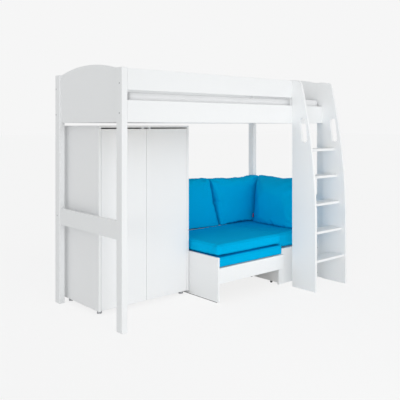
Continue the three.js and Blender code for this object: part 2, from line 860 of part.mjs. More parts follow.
function addFixedCushions() {
  addPiece('end_seat_cushion', seatCushion(
    [unitLeft, unitFront, unitHeight + seat],
    [endBoardLeft - endCushionSideGap, backBoardFront - endCushionGap],
    endCushionEdge,
    endCushionCrown,
  ), blueFabric);
  const corner = (x, z) => new THREE.Vector2(x, z);
  const low = backCushionBottom;
  const leftHigh = low + backCushionHeights.left;
  const rightHigh = low + backCushionHeights.right;
  const splitBottom = unitLeft - backSplitBottomPast;
  const splitTop = unitLeft - backSplitTopPast;
  const left = chairLeft + backCushionLeftGap;
  const right = endBoardLeft - backCushionRightGap;
  const leftCorners = [
    corner(left, low),
    corner(splitBottom - backCushionSeam, low),
    corner(splitTop - backCushionSeam, leftHigh),
    corner(left, leftHigh),
  ];
  const rightCorners = [
    corner(splitBottom + backCushionSeam, low),
    corner(right, low),
    corner(right, rightHigh),
    corner(splitTop + backCushionSeam, rightHigh),
  ];
  for (const [place, corners] of Object.entries({ left: leftCorners, right: rightCorners })) {
    const geometry = pillow(corners, backCushionThickness, pillowRim).applyMatrix4(turnForward);
    geometry.translate(0, backBoardFront - backCushionGap, 0);
    addPiece(`back_cushion_${place}`, geometry, blueFabric);
  }
  const far = backBoardFront - backCushionGap - backCushionThickness - cornerGap;
  const near = unitFront + endBackFrontInset;
  const endHigh = low + endBackHeight;
  const endCorners = [corner(-far, low), corner(-near, low), corner(-near, endHigh), corner(-far, endHigh)];
  const endPillow = pillow(endCorners, endBackThickness, endPillowRim).applyMatrix4(turnSideways);
  endPillow.translate(endBoardLeft - backCushionGap, 0, 0);
  addPiece('end_back_cushion', endPillow, blueFabric);
}

addPosts();
addEndPanels();
addLowerRails();
addSideRails();
addMattressBase();
addLadder();
addWardrobeCarcass();
addHangingRail();
addWardrobeFeet();
addDoors();
addChairFrame();
addChairSoftParts();
addCornerUnit();
addRearLedge();
addFixedCushions();

export default highSleeper;
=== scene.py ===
"""High sleeper with a ladder, a wardrobe and a pull-out corner seat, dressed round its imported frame.

Everything is in metres in the frame's own axes: +X runs along the bed from the wardrobe end to the
ladder end, +Y towards the back and +Z up. The hard parts are the frame's own solids with new
finishes. The mattress, the cushions and the small fittings are worked out here.
"""

import json
import logging
import math
from dataclasses import dataclass, field
from enum import Enum
from typing import Any, Optional, Sequence

import bpy
import numpy as np
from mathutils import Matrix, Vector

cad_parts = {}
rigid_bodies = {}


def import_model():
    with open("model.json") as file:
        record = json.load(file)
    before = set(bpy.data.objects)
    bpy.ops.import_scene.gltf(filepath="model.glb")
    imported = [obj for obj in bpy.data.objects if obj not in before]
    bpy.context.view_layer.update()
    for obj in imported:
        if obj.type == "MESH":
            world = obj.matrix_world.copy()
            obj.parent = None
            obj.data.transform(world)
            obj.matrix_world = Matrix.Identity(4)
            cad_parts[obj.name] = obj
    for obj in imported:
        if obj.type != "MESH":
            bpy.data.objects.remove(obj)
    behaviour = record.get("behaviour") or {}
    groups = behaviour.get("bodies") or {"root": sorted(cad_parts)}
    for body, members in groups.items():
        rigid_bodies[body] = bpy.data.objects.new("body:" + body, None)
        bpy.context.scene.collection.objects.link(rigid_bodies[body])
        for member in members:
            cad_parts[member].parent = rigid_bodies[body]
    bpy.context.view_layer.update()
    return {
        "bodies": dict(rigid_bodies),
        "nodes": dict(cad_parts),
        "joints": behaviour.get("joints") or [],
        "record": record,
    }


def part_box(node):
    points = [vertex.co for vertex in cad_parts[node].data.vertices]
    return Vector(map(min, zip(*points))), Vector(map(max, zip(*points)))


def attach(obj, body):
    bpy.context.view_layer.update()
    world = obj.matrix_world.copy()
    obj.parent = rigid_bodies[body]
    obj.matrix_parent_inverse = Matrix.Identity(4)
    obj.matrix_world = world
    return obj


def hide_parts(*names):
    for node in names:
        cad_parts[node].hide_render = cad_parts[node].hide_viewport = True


LOG = logging.getLogger("high_sleeper")
CLOTH_STEPS = 20

# A cushion's lattice runs from -1 to 1, and a point further out than this is on a face
ON_FACE = 0.999

# The span of a random phase: nearly a full turn, in radians
PHASE_SPAN = 6.28

# Points round a circle
CAP_STEPS = 24
SCREW_STEPS = 20
GLIDE_STEPS = 28

Frame = dict[str, Any]
Colour = tuple[float, float, float]
Place = tuple[float, float, float]
Plane = tuple[np.ndarray, np.ndarray]
Outline = tuple[tuple[float, float], ...]


# Shader maths


class Value:
    """A number that changes over a surface: a socket whose Python operators add Math nodes."""

    def __init__(self, shader: "Shader", socket: bpy.types.NodeSocket) -> None:
        """Wraps a socket of the shader's tree."""
        self.shader = shader
        self.socket = socket

    def __add__(self, other: Any) -> "Value":
        """The sum."""
        return self.shader.math("ADD", self, other)

    __radd__ = __add__

    def __sub__(self, other: Any) -> "Value":
        """This value less another."""
        return self.shader.math("SUBTRACT", self, other)

    def __rsub__(self, other: Any) -> "Value":
        """Another value less this one."""
        return self.shader.math("SUBTRACT", other, self)

    def __mul__(self, other: Any) -> "Value":
        """The product."""
        return self.shader.math("MULTIPLY", self, other)

    __rmul__ = __mul__

    def __pow__(self, power: float) -> "Value":
        """This value to a power."""
        return self.shader.math("POWER", self, power)

    def __abs__(self) -> "Value":
        """The value without its sign."""
        return self.shader.math("ABSOLUTE", self)

    def wave(self) -> "Value":
        """The sine of this value."""
        return self.shader.math("SINE", self)

    def fade(self, low: float, high: float) -> "Value":
        """0 below low, 1 above high, with a smooth step between them."""
        made = self.shader.node(
            "ShaderNodeMapRange",
            {"interpolation_type": "SMOOTHSTEP"},
            {"Value": self, "From Min": low, "From Max": high},
        )
        return Value(self.shader, made.outputs["Result"])


class Shader:
    """The node tree of a material or of the world."""

    def __init__(self, name: str, world: bool = False) -> None:
        """Starts an empty tree.

        Args:
            name: the name of what the tree belongs to.
            world: whether that is a world; otherwise it is a material.
        """
        self.owner = (bpy.data.worlds if world else bpy.data.materials).new(name)
        self.owner.use_nodes = True
        self.tree = self.owner.node_tree
        self.tree.nodes.clear()

    def node(
        self,
        kind: str,
        settings: Optional[dict[str, Any]] = None,
        inputs: Optional[dict[Any, Any]] = None,
    ) -> bpy.types.Node:
        """Adds one node.

        Args:
            kind: the node's type.
            settings: its properties, which are set first; "stops" holds a ramp's stops.
            inputs: its sockets by name or number, each a number, a colour, a Value or a socket.

        Returns:
            The node.
        """
        made = self.tree.nodes.new(kind)
        for key, value in (settings or {}).items():
            if key == "stops":
                self._set_stops(made, value)
            else:
                setattr(made, key, value)
        for key, value in (inputs or {}).items():
            source = value.socket if isinstance(value, Value) else value
            if isinstance(source, bpy.types.NodeSocket):
                self.tree.links.new(source, made.inputs[key])
            else:
                made.inputs[key].default_value = source
        return made

    @staticmethod
    def _set_stops(ramp: bpy.types.Node, stops: Sequence[tuple[float, Colour]]) -> None:
        """Gives a colour ramp its stops."""
        elements = ramp.color_ramp.elements
        while len(elements) < len(stops):
            elements.new(1.0)
        for element, (position, colour) in zip(elements, stops):
            element.position = position
            element.color = (*colour, 1.0)

    def math(self, operation: str, *values: Any) -> Value:
        """A Math node of the values.

        Args:
            operation: the node's operation.
            values: numbers or Values, in the order of its sockets.

        Returns:
            Its result.
        """
        made = self.node("ShaderNodeMath", {"operation": operation}, dict(enumerate(values)))
        return Value(self, made.outputs[0])

    def point(self, stretch: Sequence[float] = (1.0, 1.0, 1.0)) -> bpy.types.NodeSocket:
        """Object coordinates, scaled along each axis.

        Args:
            stretch: the scale along X, Y and Z.

        Returns:
            The vector socket.
        """
        coordinates = self.node("ShaderNodeTexCoord")
        mapping = self.node(
            "ShaderNodeMapping", None, {"Vector": coordinates.outputs["Object"], "Scale": stretch}
        )
        return mapping.outputs["Vector"]

    def axes(self, vector: bpy.types.NodeSocket) -> tuple[Value, Value, Value]:
        """The three coordinates of a vector."""
        made = self.node("ShaderNodeSeparateXYZ", None, {"Vector": vector})
        return tuple(Value(self, made.outputs[i]) for i in range(3))

    def noise(
        self, vector: bpy.types.NodeSocket, scale: float, detail: float = 2.0, twist: float = 0.0
    ) -> Value:
        """Noise between 0 and 1.

        Args:
            vector: where it is read.
            scale: its features per metre.
            detail: how many finer layers it has.
            twist: how far it is distorted.

        Returns:
            The noise.
        """
        inputs = {"Vector": vector, "Scale": scale, "Detail": detail, "Distortion": twist}
        return Value(self, self.node("ShaderNodeTexNoise", None, inputs).outputs[0])

    def cells(self, vector: bpy.types.NodeSocket, scale: float) -> Value:
        """The distance to the nearest of scattered points.

        Args:
            vector: where it is read.
            scale: the points per metre.

        Returns:
            The distance, near 0 at a point.
        """
        made = self.node("ShaderNodeTexVoronoi", None, {"Vector": vector, "Scale": scale})
        return Value(self, made.outputs["Distance"])

    def own(self, name: str) -> Value:
        """A number stored on the piece's own points."""
        made = self.node("ShaderNodeAttribute", {"attribute_name": name})
        return Value(self, made.outputs["Fac"])

    def blend(self, factor: Value, low: Any, high: Any) -> bpy.types.NodeSocket:
        """A mix of two colours.

        Args:
            factor: 0 for the first colour, 1 for the second.
            low: the first colour.
            high: the second colour.

        Returns:
            The colour socket.
        """
        colours = [c if isinstance(c, bpy.types.NodeSocket) else (*c, 1.0) for c in (low, high)]
        inputs = {0: factor, 6: colours[0], 7: colours[1]}
        return self.node("ShaderNodeMix", {"data_type": "RGBA"}, inputs).outputs[2]

    def shaded(self, factor: Value, colour: Colour, low: float, high: float) -> bpy.types.NodeSocket:
        """A colour that changes between two shades of itself.

        Args:
            factor: 0 for the first shade, 1 for the second.
            colour: the colour.
            low: how light the first shade is, 1 for the colour itself.
            high: how light the second shade is.

        Returns:
            The colour socket.
        """
        return self.blend(factor, shade(colour, low), shade(colour, high))

    def relief(self, height: Value, depth: float) -> bpy.types.NodeSocket:
        """A normal from a height.

        Args:
            height: the height, about 0 to 1.
            depth: what 1 stands for, in metres.

        Returns:
            The normal socket.
        """
        inputs = {"Strength": 1.0, "Distance": depth, "Height": height}
        return self.node("ShaderNodeBump", None, inputs).outputs["Normal"]

    def finish(self, **inputs: Any) -> bpy.types.Material:
        """Closes the tree with a Principled surface.

        Args:
            inputs: the surface's sockets, with _ for a space.

        Returns:
            The material.
        """
        named = {key.replace("_", " "): value for key, value in inputs.items()}
        return self.close(self.node("ShaderNodeBsdfPrincipled", None, named))

    def mix(self, factor: Value, first: bpy.types.Node, second: bpy.types.Node) -> bpy.types.Node:
        """A mix of two surfaces.

        Args:
            factor: 0 for the first surface, 1 for the second.
            first: the first surface.
            second: the second surface.

        Returns:
            The node that mixes them.
        """
        inputs = {0: factor, 1: first.outputs[0], 2: second.outputs[0]}
        return self.node("ShaderNodeMixShader", None, inputs)

    def close(self, surface: bpy.types.Node) -> bpy.types.ID:
        """Ends the tree.

        Args:
            surface: the node of its surface.

        Returns:
            What the tree belongs to.
        """
        kind = "World" if isinstance(self.owner, bpy.types.World) else "Material"
        self.node(f"ShaderNodeOutput{kind}", None, {"Surface": surface.outputs[0]})
        return self.owner


# Finishes


class Grain(Enum):
    """The way a board's length runs, as the stretch of its pattern along X, Y and Z."""

    ALONG_X = (0.06, 1.0, 1.0)
    ALONG_Y = (1.0, 0.06, 1.0)
    ALONG_Z = (1.0, 1.0, 0.06)


def shade(colour: Colour, factor: float) -> Colour:
    """The colour, lighter or darker by a factor."""
    return tuple(min(1.0, channel * factor) for channel in colour)


def grey(tone: float) -> Colour:
    """The grey of a tone."""
    return (tone, tone, tone)


@dataclass(frozen=True)
class SprayedPaint:
    """Satin white lacquer on wood: a fine ripple over a faint trace of the grain under it.

    Attributes:
        grain: the way the wood under it runs.
        colour: its colour.
        roughness: its mean roughness.
        cloud: its broad changes of tone, to a metre.
        fibre: the wood's fibres, to a metre.
        ripple: the lacquer's ripples, to a metre.
        depth: how deep the fibres and the ripples are.
    """

    grain: Grain
    colour: Colour = (0.885, 0.897, 0.903)
    roughness: float = 0.4
    cloud: float = 2.3
    fibre: float = 160.0
    ripple: float = 420.0
    depth: float = 0.00012

    def material(self) -> bpy.types.Material:
        """Makes the material."""
        shader = Shader(f"sprayed_paint_{self.grain.name.lower()}")
        point = shader.point()
        broad = shader.noise(point, self.cloud, 3.0)
        fibre = shader.noise(shader.point(self.grain.value), self.fibre, 3.0, 0.3)
        ripple = shader.noise(point, self.ripple, 1.0)
        tone = broad * 0.7 + fibre * 0.3
        return shader.finish(
            Base_Color=shader.shaded(tone, self.colour, 0.985, 1.012),
            Roughness=self.roughness + 0.1 * (broad - 0.5),
            Normal=shader.relief(fibre * 0.6 + ripple * 0.4, self.depth),
            Specular_IOR_Level=0.45,
        )


@dataclass(frozen=True)
class CoatedBoard:
    """White melamine board: a shallow pearl texture pressed into a matt skin.

    Attributes:
        grain: the way the board's length runs.
        colour: its colour.
        roughness: its mean roughness.
        cloud: its broad changes of tone, to a metre.
        pearl: the texture's pearls, to a metre.
        streak: the streaks along it, to a metre.
        depth: how deep the pearls and the streaks are.
    """

    grain: Grain
    colour: Colour = (0.895, 0.903, 0.91)
    roughness: float = 0.5
    cloud: float = 1.6
    pearl: float = 640.0
    streak: float = 90.0
    depth: float = 0.00009

    def material(self) -> bpy.types.Material:
        """Makes the material."""
        shader = Shader(f"coated_board_{self.grain.name.lower()}")
        point = shader.point()
        broad = shader.noise(point, self.cloud, 2.0)
        pearl = shader.cells(point, self.pearl)
        streak = shader.noise(shader.point(self.grain.value), self.streak, 2.0)
        return shader.finish(
            Base_Color=shader.shaded(broad, self.colour, 0.99, 1.01),
            Roughness=self.roughness + 0.08 * (pearl - 0.5),
            Normal=shader.relief(pearl * 0.7 + streak * 0.3, self.depth),
            Specular_IOR_Level=0.4,
        )


@dataclass(frozen=True)
class WovenCotton:
    """Plain woven cotton: crossing threads, thicker slubs and painted shade along each seam.

    Attributes:
        name: the material's name.
        colour: its colour.
        thread: the distance between two threads.
        roughness: its mean roughness.
        slub: the slubs, to a metre.
        wear: the worn patches, to a metre.
        depth: how deep the weave is.
    """

    name: str
    colour: Colour
    thread: float = 0.0011
    roughness: float = 0.86
    slub: float = 900.0
    wear: float = 7.0
    depth: float = 0.00022

    def material(self) -> bpy.types.Material:
        """Makes the material.

        The weave is the sum of one ripple along each axis, so that two of them cross on every face.
        """
        shader = Shader(self.name)
        point = shader.point()
        ripples = [abs((axis * (math.pi / self.thread)).wave()) for axis in shader.axes(point)]
        weave = (ripples[0] + ripples[1] + ripples[2]) * (1 / 3)
        slub = shader.noise(shader.point((1.0, 1.0, 0.12)), self.slub, 1.0)
        cross_slub = shader.noise(shader.point((0.12, 0.12, 1.0)), self.slub, 1.0)
        worn = shader.noise(point, self.wear, 3.0)
        crease = shader.own("seam")
        tone = worn * 0.55 + slub * 0.2 + cross_slub * 0.1 + weave * 0.15
        cloth = shader.shaded(tone, self.colour, 0.9, 1.09)
        return shader.finish(
            # The seam nearness darkens the cloth: painted shade in the crease of each seam.
            Base_Color=shader.blend(crease * 0.22, cloth, shade(self.colour, 0.5)),
            Roughness=self.roughness + 0.1 * (weave - 0.6),
            Normal=shader.relief(weave * 0.6 + slub * 0.25 + cross_slub * 0.15, self.depth),
            Specular_IOR_Level=0.05,
            Specular_Tint=(*self.colour, 1.0),
        )


@dataclass(frozen=True)
class Quilting:
    """Stitched waves: a line runs where y + height sin(2 pi x / length) is whole pitches.

    Attributes:
        pitch: the distance between two lines.
        length: the length of a wave.
        height: how far a wave swings to each side.
        depth: how deep a line is drawn in.
    """

    pitch: float = 0.105
    length: float = 0.34
    height: float = 0.03
    depth: float = 0.005


@dataclass(frozen=True)
class KnittedTicking:
    """White mattress ticking: fine ribs of knit, drawn into a crease along stitched waves.

    Attributes:
        quilting: the stitched waves.
        colour: its colour.
        rib: the distance between two ribs.
        loop: the distance between two loops of a rib.
        cloud: its broad changes of tone, to a metre.
        crease: how far the cloth has risen where a crease ends.
        line: how far it has risen where a stitched line starts to fade, and where it ends.
        depth: how deep a crease is.
    """

    quilting: Quilting
    colour: Colour = (0.91, 0.915, 0.925)
    rib: float = 0.0016
    loop: float = 0.0012
    cloud: float = 9.0
    crease: float = 0.3
    line: tuple[float, float] = (0.03, 0.08)
    depth: float = 0.002

    def material(self) -> bpy.types.Material:
        """Makes the material.

        The cloth rises from a stitched line as |sin(pi * phase)|, where the phase counts the
        pitches. The crease fades where the piece's own quilt number does.
        """
        shader = Shader("knitted_ticking")
        point = shader.point()
        along, across, up = shader.axes(point)
        rib = abs(((along + up) * (math.pi / self.rib)).wave()) * 0.6
        loop = abs((across * (math.pi / self.loop)).wave()) * 0.4
        soft = shader.noise(point, self.cloud, 3.0)
        swing = (along * (2 * math.pi / self.quilting.length)).wave() * self.quilting.height
        puff = abs(((across + swing) * (math.pi / self.quilting.pitch)).wave())
        quilted = shader.own("quilt")
        crease = quilted * (1 - puff.fade(0.0, self.crease))
        line = quilted * (1 - puff.fade(*self.line))
        shadow = shader.own("seam") * 0.2 + line * 0.5 + crease * 0.15
        cloth = shader.shaded(soft, self.colour, 0.97, 1.02)
        return shader.finish(
            Base_Color=shader.blend(shadow, cloth, shade(self.colour, 0.6)),
            Roughness=0.92 - 0.06 * rib,
            Normal=shader.relief((rib + loop) * 0.09 - crease, self.depth),
            Sheen_Weight=0.1,
            Specular_IOR_Level=0.12,
        )


@dataclass(frozen=True)
class PlanedPine:
    """Bare planed pine: wide growth rings drawn out along the slat, with a few knots.

    Attributes:
        grain: the way the slat's length runs.
        early: the colour of the wood that grows in spring.
        late: the colour of the wood that grows in autumn.
        swirl: the swirls of the rings, to a metre.
        rings: how close the rings lie, in radians from the least noise to the most.
        fibre: the fibres, to a metre.
        knots: the places where a knot may be, to a metre.
        knot_edge: how far from such a place a knot starts to fade, and where it ends.
        depth: how deep the fibres and the rings are.
    """

    grain: Grain
    early: Colour = (0.8, 0.72, 0.58)
    late: Colour = (0.62, 0.47, 0.3)
    swirl: float = 11.0
    rings: float = 46.0
    fibre: float = 420.0
    knots: float = 5.0
    knot_edge: tuple[float, float] = (0.05, 0.12)
    depth: float = 0.00015

    def material(self) -> bpy.types.Material:
        """Makes the material.

        Rings are a sine of noise that is stretched along the slat. Knots lie round scattered
        points and are about two and a half times as long as they are wide.
        """
        shader = Shader(f"planed_pine_{self.grain.name.lower()}")
        drawn = shader.point(self.grain.value)
        bands = (shader.noise(drawn, self.swirl, 2.0, 0.8) * self.rings).wave() * 0.5 + 0.5
        fibre = shader.noise(drawn, self.fibre, 2.0)
        less_drawn = shader.point(tuple(0.35 + 0.65 * share for share in self.grain.value))
        knot = 1 - shader.cells(less_drawn, self.knots).fade(*self.knot_edge)
        ring = bands ** 2.5 * 0.5 + fibre * 0.2
        wood = shader.blend(ring, self.early, self.late)
        return shader.finish(
            Base_Color=shader.blend(knot * 0.7, wood, shade(self.late, 0.5)),
            Roughness=0.62 + 0.12 * fibre,
            Normal=shader.relief(fibre * 0.6 + bands * 0.4, self.depth),
            Specular_IOR_Level=0.3,
        )


@dataclass(frozen=True)
class BrushedMetal:
    """Satin steel with fine scratches that run up and down.

    Attributes:
        name: the material's name.
        colour: its colour.
        scratch: the scratches, to a metre.
        smear: the smears, to a metre.
        depth: how deep the scratches are.
    """

    name: str = "brushed_metal"
    colour: Colour = (0.56, 0.57, 0.59)
    scratch: float = 2600.0
    smear: float = 30.0
    depth: float = 0.00002

    def material(self) -> bpy.types.Material:
        """Makes the material."""
        shader = Shader(self.name)
        scratch = shader.noise(shader.point((1.0, 1.0, 0.02)), self.scratch, 2.0)
        smear = shader.noise(shader.point(), self.smear, 2.0)
        tone = scratch * 0.5 + smear * 0.5
        return shader.finish(
            Base_Color=shader.shaded(tone, self.colour, 0.88, 1.12),
            Metallic=1.0,
            Roughness=0.26 + 0.16 * scratch,
            Normal=shader.relief(scratch, self.depth),
        )


@dataclass(frozen=True)
class MouldedPlastic:
    """Moulded plastic with a spark-eroded texture.

    Attributes:
        name: the material's name.
        colour: its colour.
        roughness: its mean roughness.
        pit: the texture's pits, to a metre.
        scuff: the scuffs, to a metre.
        depth: how deep the pits are.
    """

    name: str
    colour: Colour
    roughness: float = 0.5
    pit: float = 2400.0
    scuff: float = 60.0
    depth: float = 0.00004

    def material(self) -> bpy.types.Material:
        """Makes the material."""
        shader = Shader(self.name)
        point = shader.point()
        eroded = shader.noise(point, self.pit, 2.0)
        scuff = shader.noise(point, self.scuff, 3.0)
        return shader.finish(
            Base_Color=shader.shaded(scuff, self.colour, 0.9, 1.1),
            Roughness=self.roughness + 0.12 * (eroded - 0.5) + 0.08 * (scuff - 0.5),
            Normal=shader.relief(eroded, self.depth),
        )


@dataclass
class Finishes:
    """Every material of the piece, each made once.

    Attributes:
        paint: the sprayed paint for each way that a part runs.
        board: the coated board for each way.
        pine: the planed pine for each way.
        quilting: the quilting that the mattress and its ticking share.
    """

    paint: dict[Grain, bpy.types.Material] = field(default_factory=dict)
    board: dict[Grain, bpy.types.Material] = field(default_factory=dict)
    pine: dict[Grain, bpy.types.Material] = field(default_factory=dict)
    quilting: Quilting = Quilting()

    def __post_init__(self) -> None:
        """Makes the materials."""
        for grain in Grain:
            self.paint[grain] = SprayedPaint(grain).material()
            self.board[grain] = CoatedBoard(grain).material()
            self.pine[grain] = PlanedPine(grain).material()
        self.blue = WovenCotton("blue_cotton", (0.0, 0.42, 0.77)).material()
        self.red = WovenCotton("red_tape", (0.62, 0.02, 0.03), thread=0.0006).material()
        self.ticking = KnittedTicking(self.quilting).material()
        self.steel = BrushedMetal().material()
        self.black = MouldedPlastic("black_glide", (0.014, 0.014, 0.015)).material()
        self.cap = MouldedPlastic("grey_cap", (0.52, 0.53, 0.54), roughness=0.35).material()
        self.catch = MouldedPlastic("white_catch", (0.86, 0.87, 0.88), roughness=0.4).material()


# Meshes


def corners_of(bounds: tuple[Any, Any]) -> list[list[float]]:
    """The two corners of a box as plain lists."""
    return [list(corner) for corner in bounds]


def unit_vector(vector: np.ndarray) -> np.ndarray:
    """The vector at length 1."""
    return vector / np.linalg.norm(vector)


@dataclass
class Surface:
    """Points, the faces between them and numbers stored on the points.

    Attributes:
        points: the points, n by 3.
        faces: the numbers of each face's points: a row a face, or one face alone.
        fields: the stored numbers by name, one a point.
    """

    points: np.ndarray
    faces: list[np.ndarray]
    fields: dict[str, np.ndarray] = field(default_factory=dict)

    def __add__(self, other: "Surface") -> "Surface":
        """Both surfaces as one."""
        shift = len(self.points)
        return Surface(
            np.concatenate([self.points, other.points]),
            self.faces + [face + shift for face in other.faces],
        )

    def moved(self, offset: Sequence[float]) -> "Surface":
        """The surface shifted by an offset."""
        return Surface(self.points + np.asarray(offset, float), self.faces, self.fields)

    def mapped(self, along: Sequence[Sequence[float]]) -> "Surface":
        """The surface with each axis turned to the given one, for a right-handed set."""
        return Surface(self.points @ np.asarray(along, float), self.faces, self.fields)

    def placed(self, name: str, material: bpy.types.Material, smooth: bool = True) -> bpy.types.Object:
        """Makes the object.

        Args:
            name: its name.
            material: its material.
            smooth: whether its faces are shaded smooth.

        Returns:
            The object, at the origin.
        """
        mesh = bpy.data.meshes.new(name)
        faces = [row for block in self.faces for row in np.atleast_2d(block).tolist()]
        mesh.from_pydata(self.points.tolist(), [], faces)
        for key, numbers in self.fields.items():
            stored = mesh.attributes.new(key, "FLOAT", "POINT")
            stored.data.foreach_set("value", numbers.astype(np.float32))
        mesh.polygons.foreach_set("use_smooth", np.full(len(faces), smooth))
        mesh.materials.append(material)
        mesh.update()
        piece = bpy.data.objects.new(name, mesh)
        bpy.context.scene.collection.objects.link(piece)
        return piece


def joined(rings: np.ndarray) -> Surface:
    """Rings of points joined one to the next, with a flat face over each end.

    Args:
        rings: r by n by 3, each ring anticlockwise as seen from the last one.

    Returns:
        The closed surface.
    """
    index = np.arange(rings.shape[0] * rings.shape[1]).reshape(rings.shape[:2])
    after = np.roll(index, -1, axis=1)
    walls = np.stack([index[:-1], after[:-1], after[1:], index[1:]], axis=-1).reshape(-1, 4)
    return Surface(rings.reshape(-1, 3), [walls, index[0][::-1], index[-1]])


def turned(profile: Sequence[tuple[float, float]], steps: int) -> Surface:
    """A round piece about Z: every profile point (radius, height) is carried round a circle.

    Args:
        profile: from the lower end to the upper, on the outside.
        steps: how many points a circle has.

    Returns:
        The surface, closed by a flat face at each end.
    """
    radius, height = np.asarray(profile, float).T
    angle = np.linspace(0, 2 * math.pi, steps, endpoint=False)
    x, y = np.outer(radius, np.cos(angle)), np.outer(radius, np.sin(angle))
    return joined(np.stack([x, y, np.repeat(height[:, None], steps, axis=1)], axis=-1))


def carried(section: np.ndarray, rows: np.ndarray) -> Surface:
    """A closed section carried along rows: row r's points are its frame times the section.

    Args:
        section: the section's points, anticlockwise as seen from the far end, n by 2.
        rows: one frame a row, r by 3 by 3: its centre and the two directions of the section.

    Returns:
        The surface, closed at both ends.
    """
    centre, first, second = (rows[:, None, part] for part in range(3))
    return joined(centre + section[None, :, :1] * first + section[None, :, 1:] * second)


def quads_of(index: np.ndarray) -> np.ndarray:
    """The quads of a grid of points.

    Args:
        index: the points' numbers, in rows and columns.

    Returns:
        The quads, n by 4, each along the rows first.
    """
    corners = [index[:-1, :-1], index[1:, :-1], index[1:, 1:], index[:-1, 1:]]
    return np.stack(corners, axis=-1).reshape(-1, 4)


def lattice(cells: tuple[int, int, int]) -> tuple[np.ndarray, np.ndarray]:
    """The skin of a box of cells: lattice points with an end number on at least one axis.

    Args:
        cells: how many cells the box has along each axis.

    Returns:
        The points in -1 to 1 and the quads between them, facing out.
    """
    grid = np.stack(np.meshgrid(*[np.arange(n + 1) for n in cells], indexing="ij"), axis=-1)
    last = np.array(cells)
    skin = ((grid == 0) | (grid == last)).any(axis=-1)
    index = np.full(skin.shape, -1)
    index[skin] = np.arange(skin.sum())
    quads = []
    for axis, flipped in ((0, False), (1, True), (2, False)):
        for end in (0, -1):
            side = quads_of(index.take(end, axis=axis))
            quads.append(side[:, ::-1] if flipped == (end == -1) else side)
    return grid[skin] / last * 2.0 - 1.0, np.concatenate(quads)


def point_normals(points: np.ndarray, quads: np.ndarray) -> np.ndarray:
    """The normal at each point: the sum of the crossed diagonals of the quads round it."""
    corners = points[quads]
    crossed = np.cross(corners[:, 2] - corners[:, 0], corners[:, 3] - corners[:, 1])
    normals = np.zeros_like(points)
    for corner in range(4):
        np.add.at(normals, quads[:, corner], crossed)
    return normals / np.maximum(np.linalg.norm(normals, axis=1, keepdims=True), 1e-12)


def kept_inside(points: np.ndarray, planes: Sequence[Plane], margin: float) -> np.ndarray:
    """Keeps points on the inner side of planes, as cloth presses flat on what it meets.

    A depth d below the margin m becomes m * exp(d / m - 1), which stays above 0.

    Args:
        points: the points.
        planes: a point on each plane and its inward normal.
        margin: how deep the press reaches.

    Returns:
        The moved points.
    """
    for anchor, inward in planes:
        depth = (points - anchor) @ inward
        pressed = np.where(depth < margin, margin * np.exp(depth / margin - 1), depth)
        points = points + (pressed - depth)[:, None] * inward
    return points


# Soft goods


class Facing(Enum):
    """The way a cushion's front looks: its width, height and thickness axes."""

    UP = ((1, 0, 0), (0, 1, 0), (0, 0, 1))
    FORWARD = ((1, 0, 0), (0, 0, 1), (0, -1, 0))
    LEFT = ((0, -1, 0), (0, 0, 1), (-1, 0, 0))


@dataclass(frozen=True)
class Filling:
    """How a cushion is stuffed and how its cover moves in the cloth simulation.

    Attributes:
        pressure: how hard the stuffing presses.
        slack: how much larger the cover is cut than its start, as a share.
        stiffness: how hard the cover is to bend.
        cap: how far a point of the cover may move.
        tightness: how full it is, from 0 to 1; not used.
        sunk: how far inside its solid the front starts, as a share of the cap.
        held: how much of the back is held still, as a share of its width and height.
        mass: the mass of a point of the cover.
        tension: how hard the cover is to stretch.
        compression: how hard it is to squeeze.
        shear: how hard it is to skew.
        quality: the simulation's steps in a frame.
    """

    pressure: float = 4.0
    slack: float = 0.03
    stiffness: float = 0.6
    cap: float = 0.014
    tightness: float = 0.75
    sunk: float = 0.4
    held: float = 0.75
    mass: float = 0.3
    tension: float = 12.0
    compression: float = 8.0
    shear: float = 4.0
    quality: int = 4


@dataclass(frozen=True)
class Creasing:
    """How a stuffed cover creases: folds at its corners, gathers at its seams and broad dents.

    Attributes:
        reach: the least and the most distance from a corner at which its folds stand highest.
        count: the least number of folds round a corner, and one more than the most.
        gathers: the lengths of the gathers along the seams.
        gather_share: the gathers' height, as a share of the folds'.
        gather_fade: how fast the gathers fade away from the seams.
        dents: the waves of the dents across and up, in radians a metre.
        dent_share: the dents' height, as a share of the folds'.
    """

    reach: tuple[float, float] = (0.055, 0.085)
    count: tuple[int, int] = (9, 15)
    gathers: tuple[float, ...] = (0.031, 0.047, 0.083)
    gather_share: float = 0.35
    gather_fade: float = 7.0
    dents: tuple[float, float] = (11.0, 13.0)
    dent_share: float = 0.9


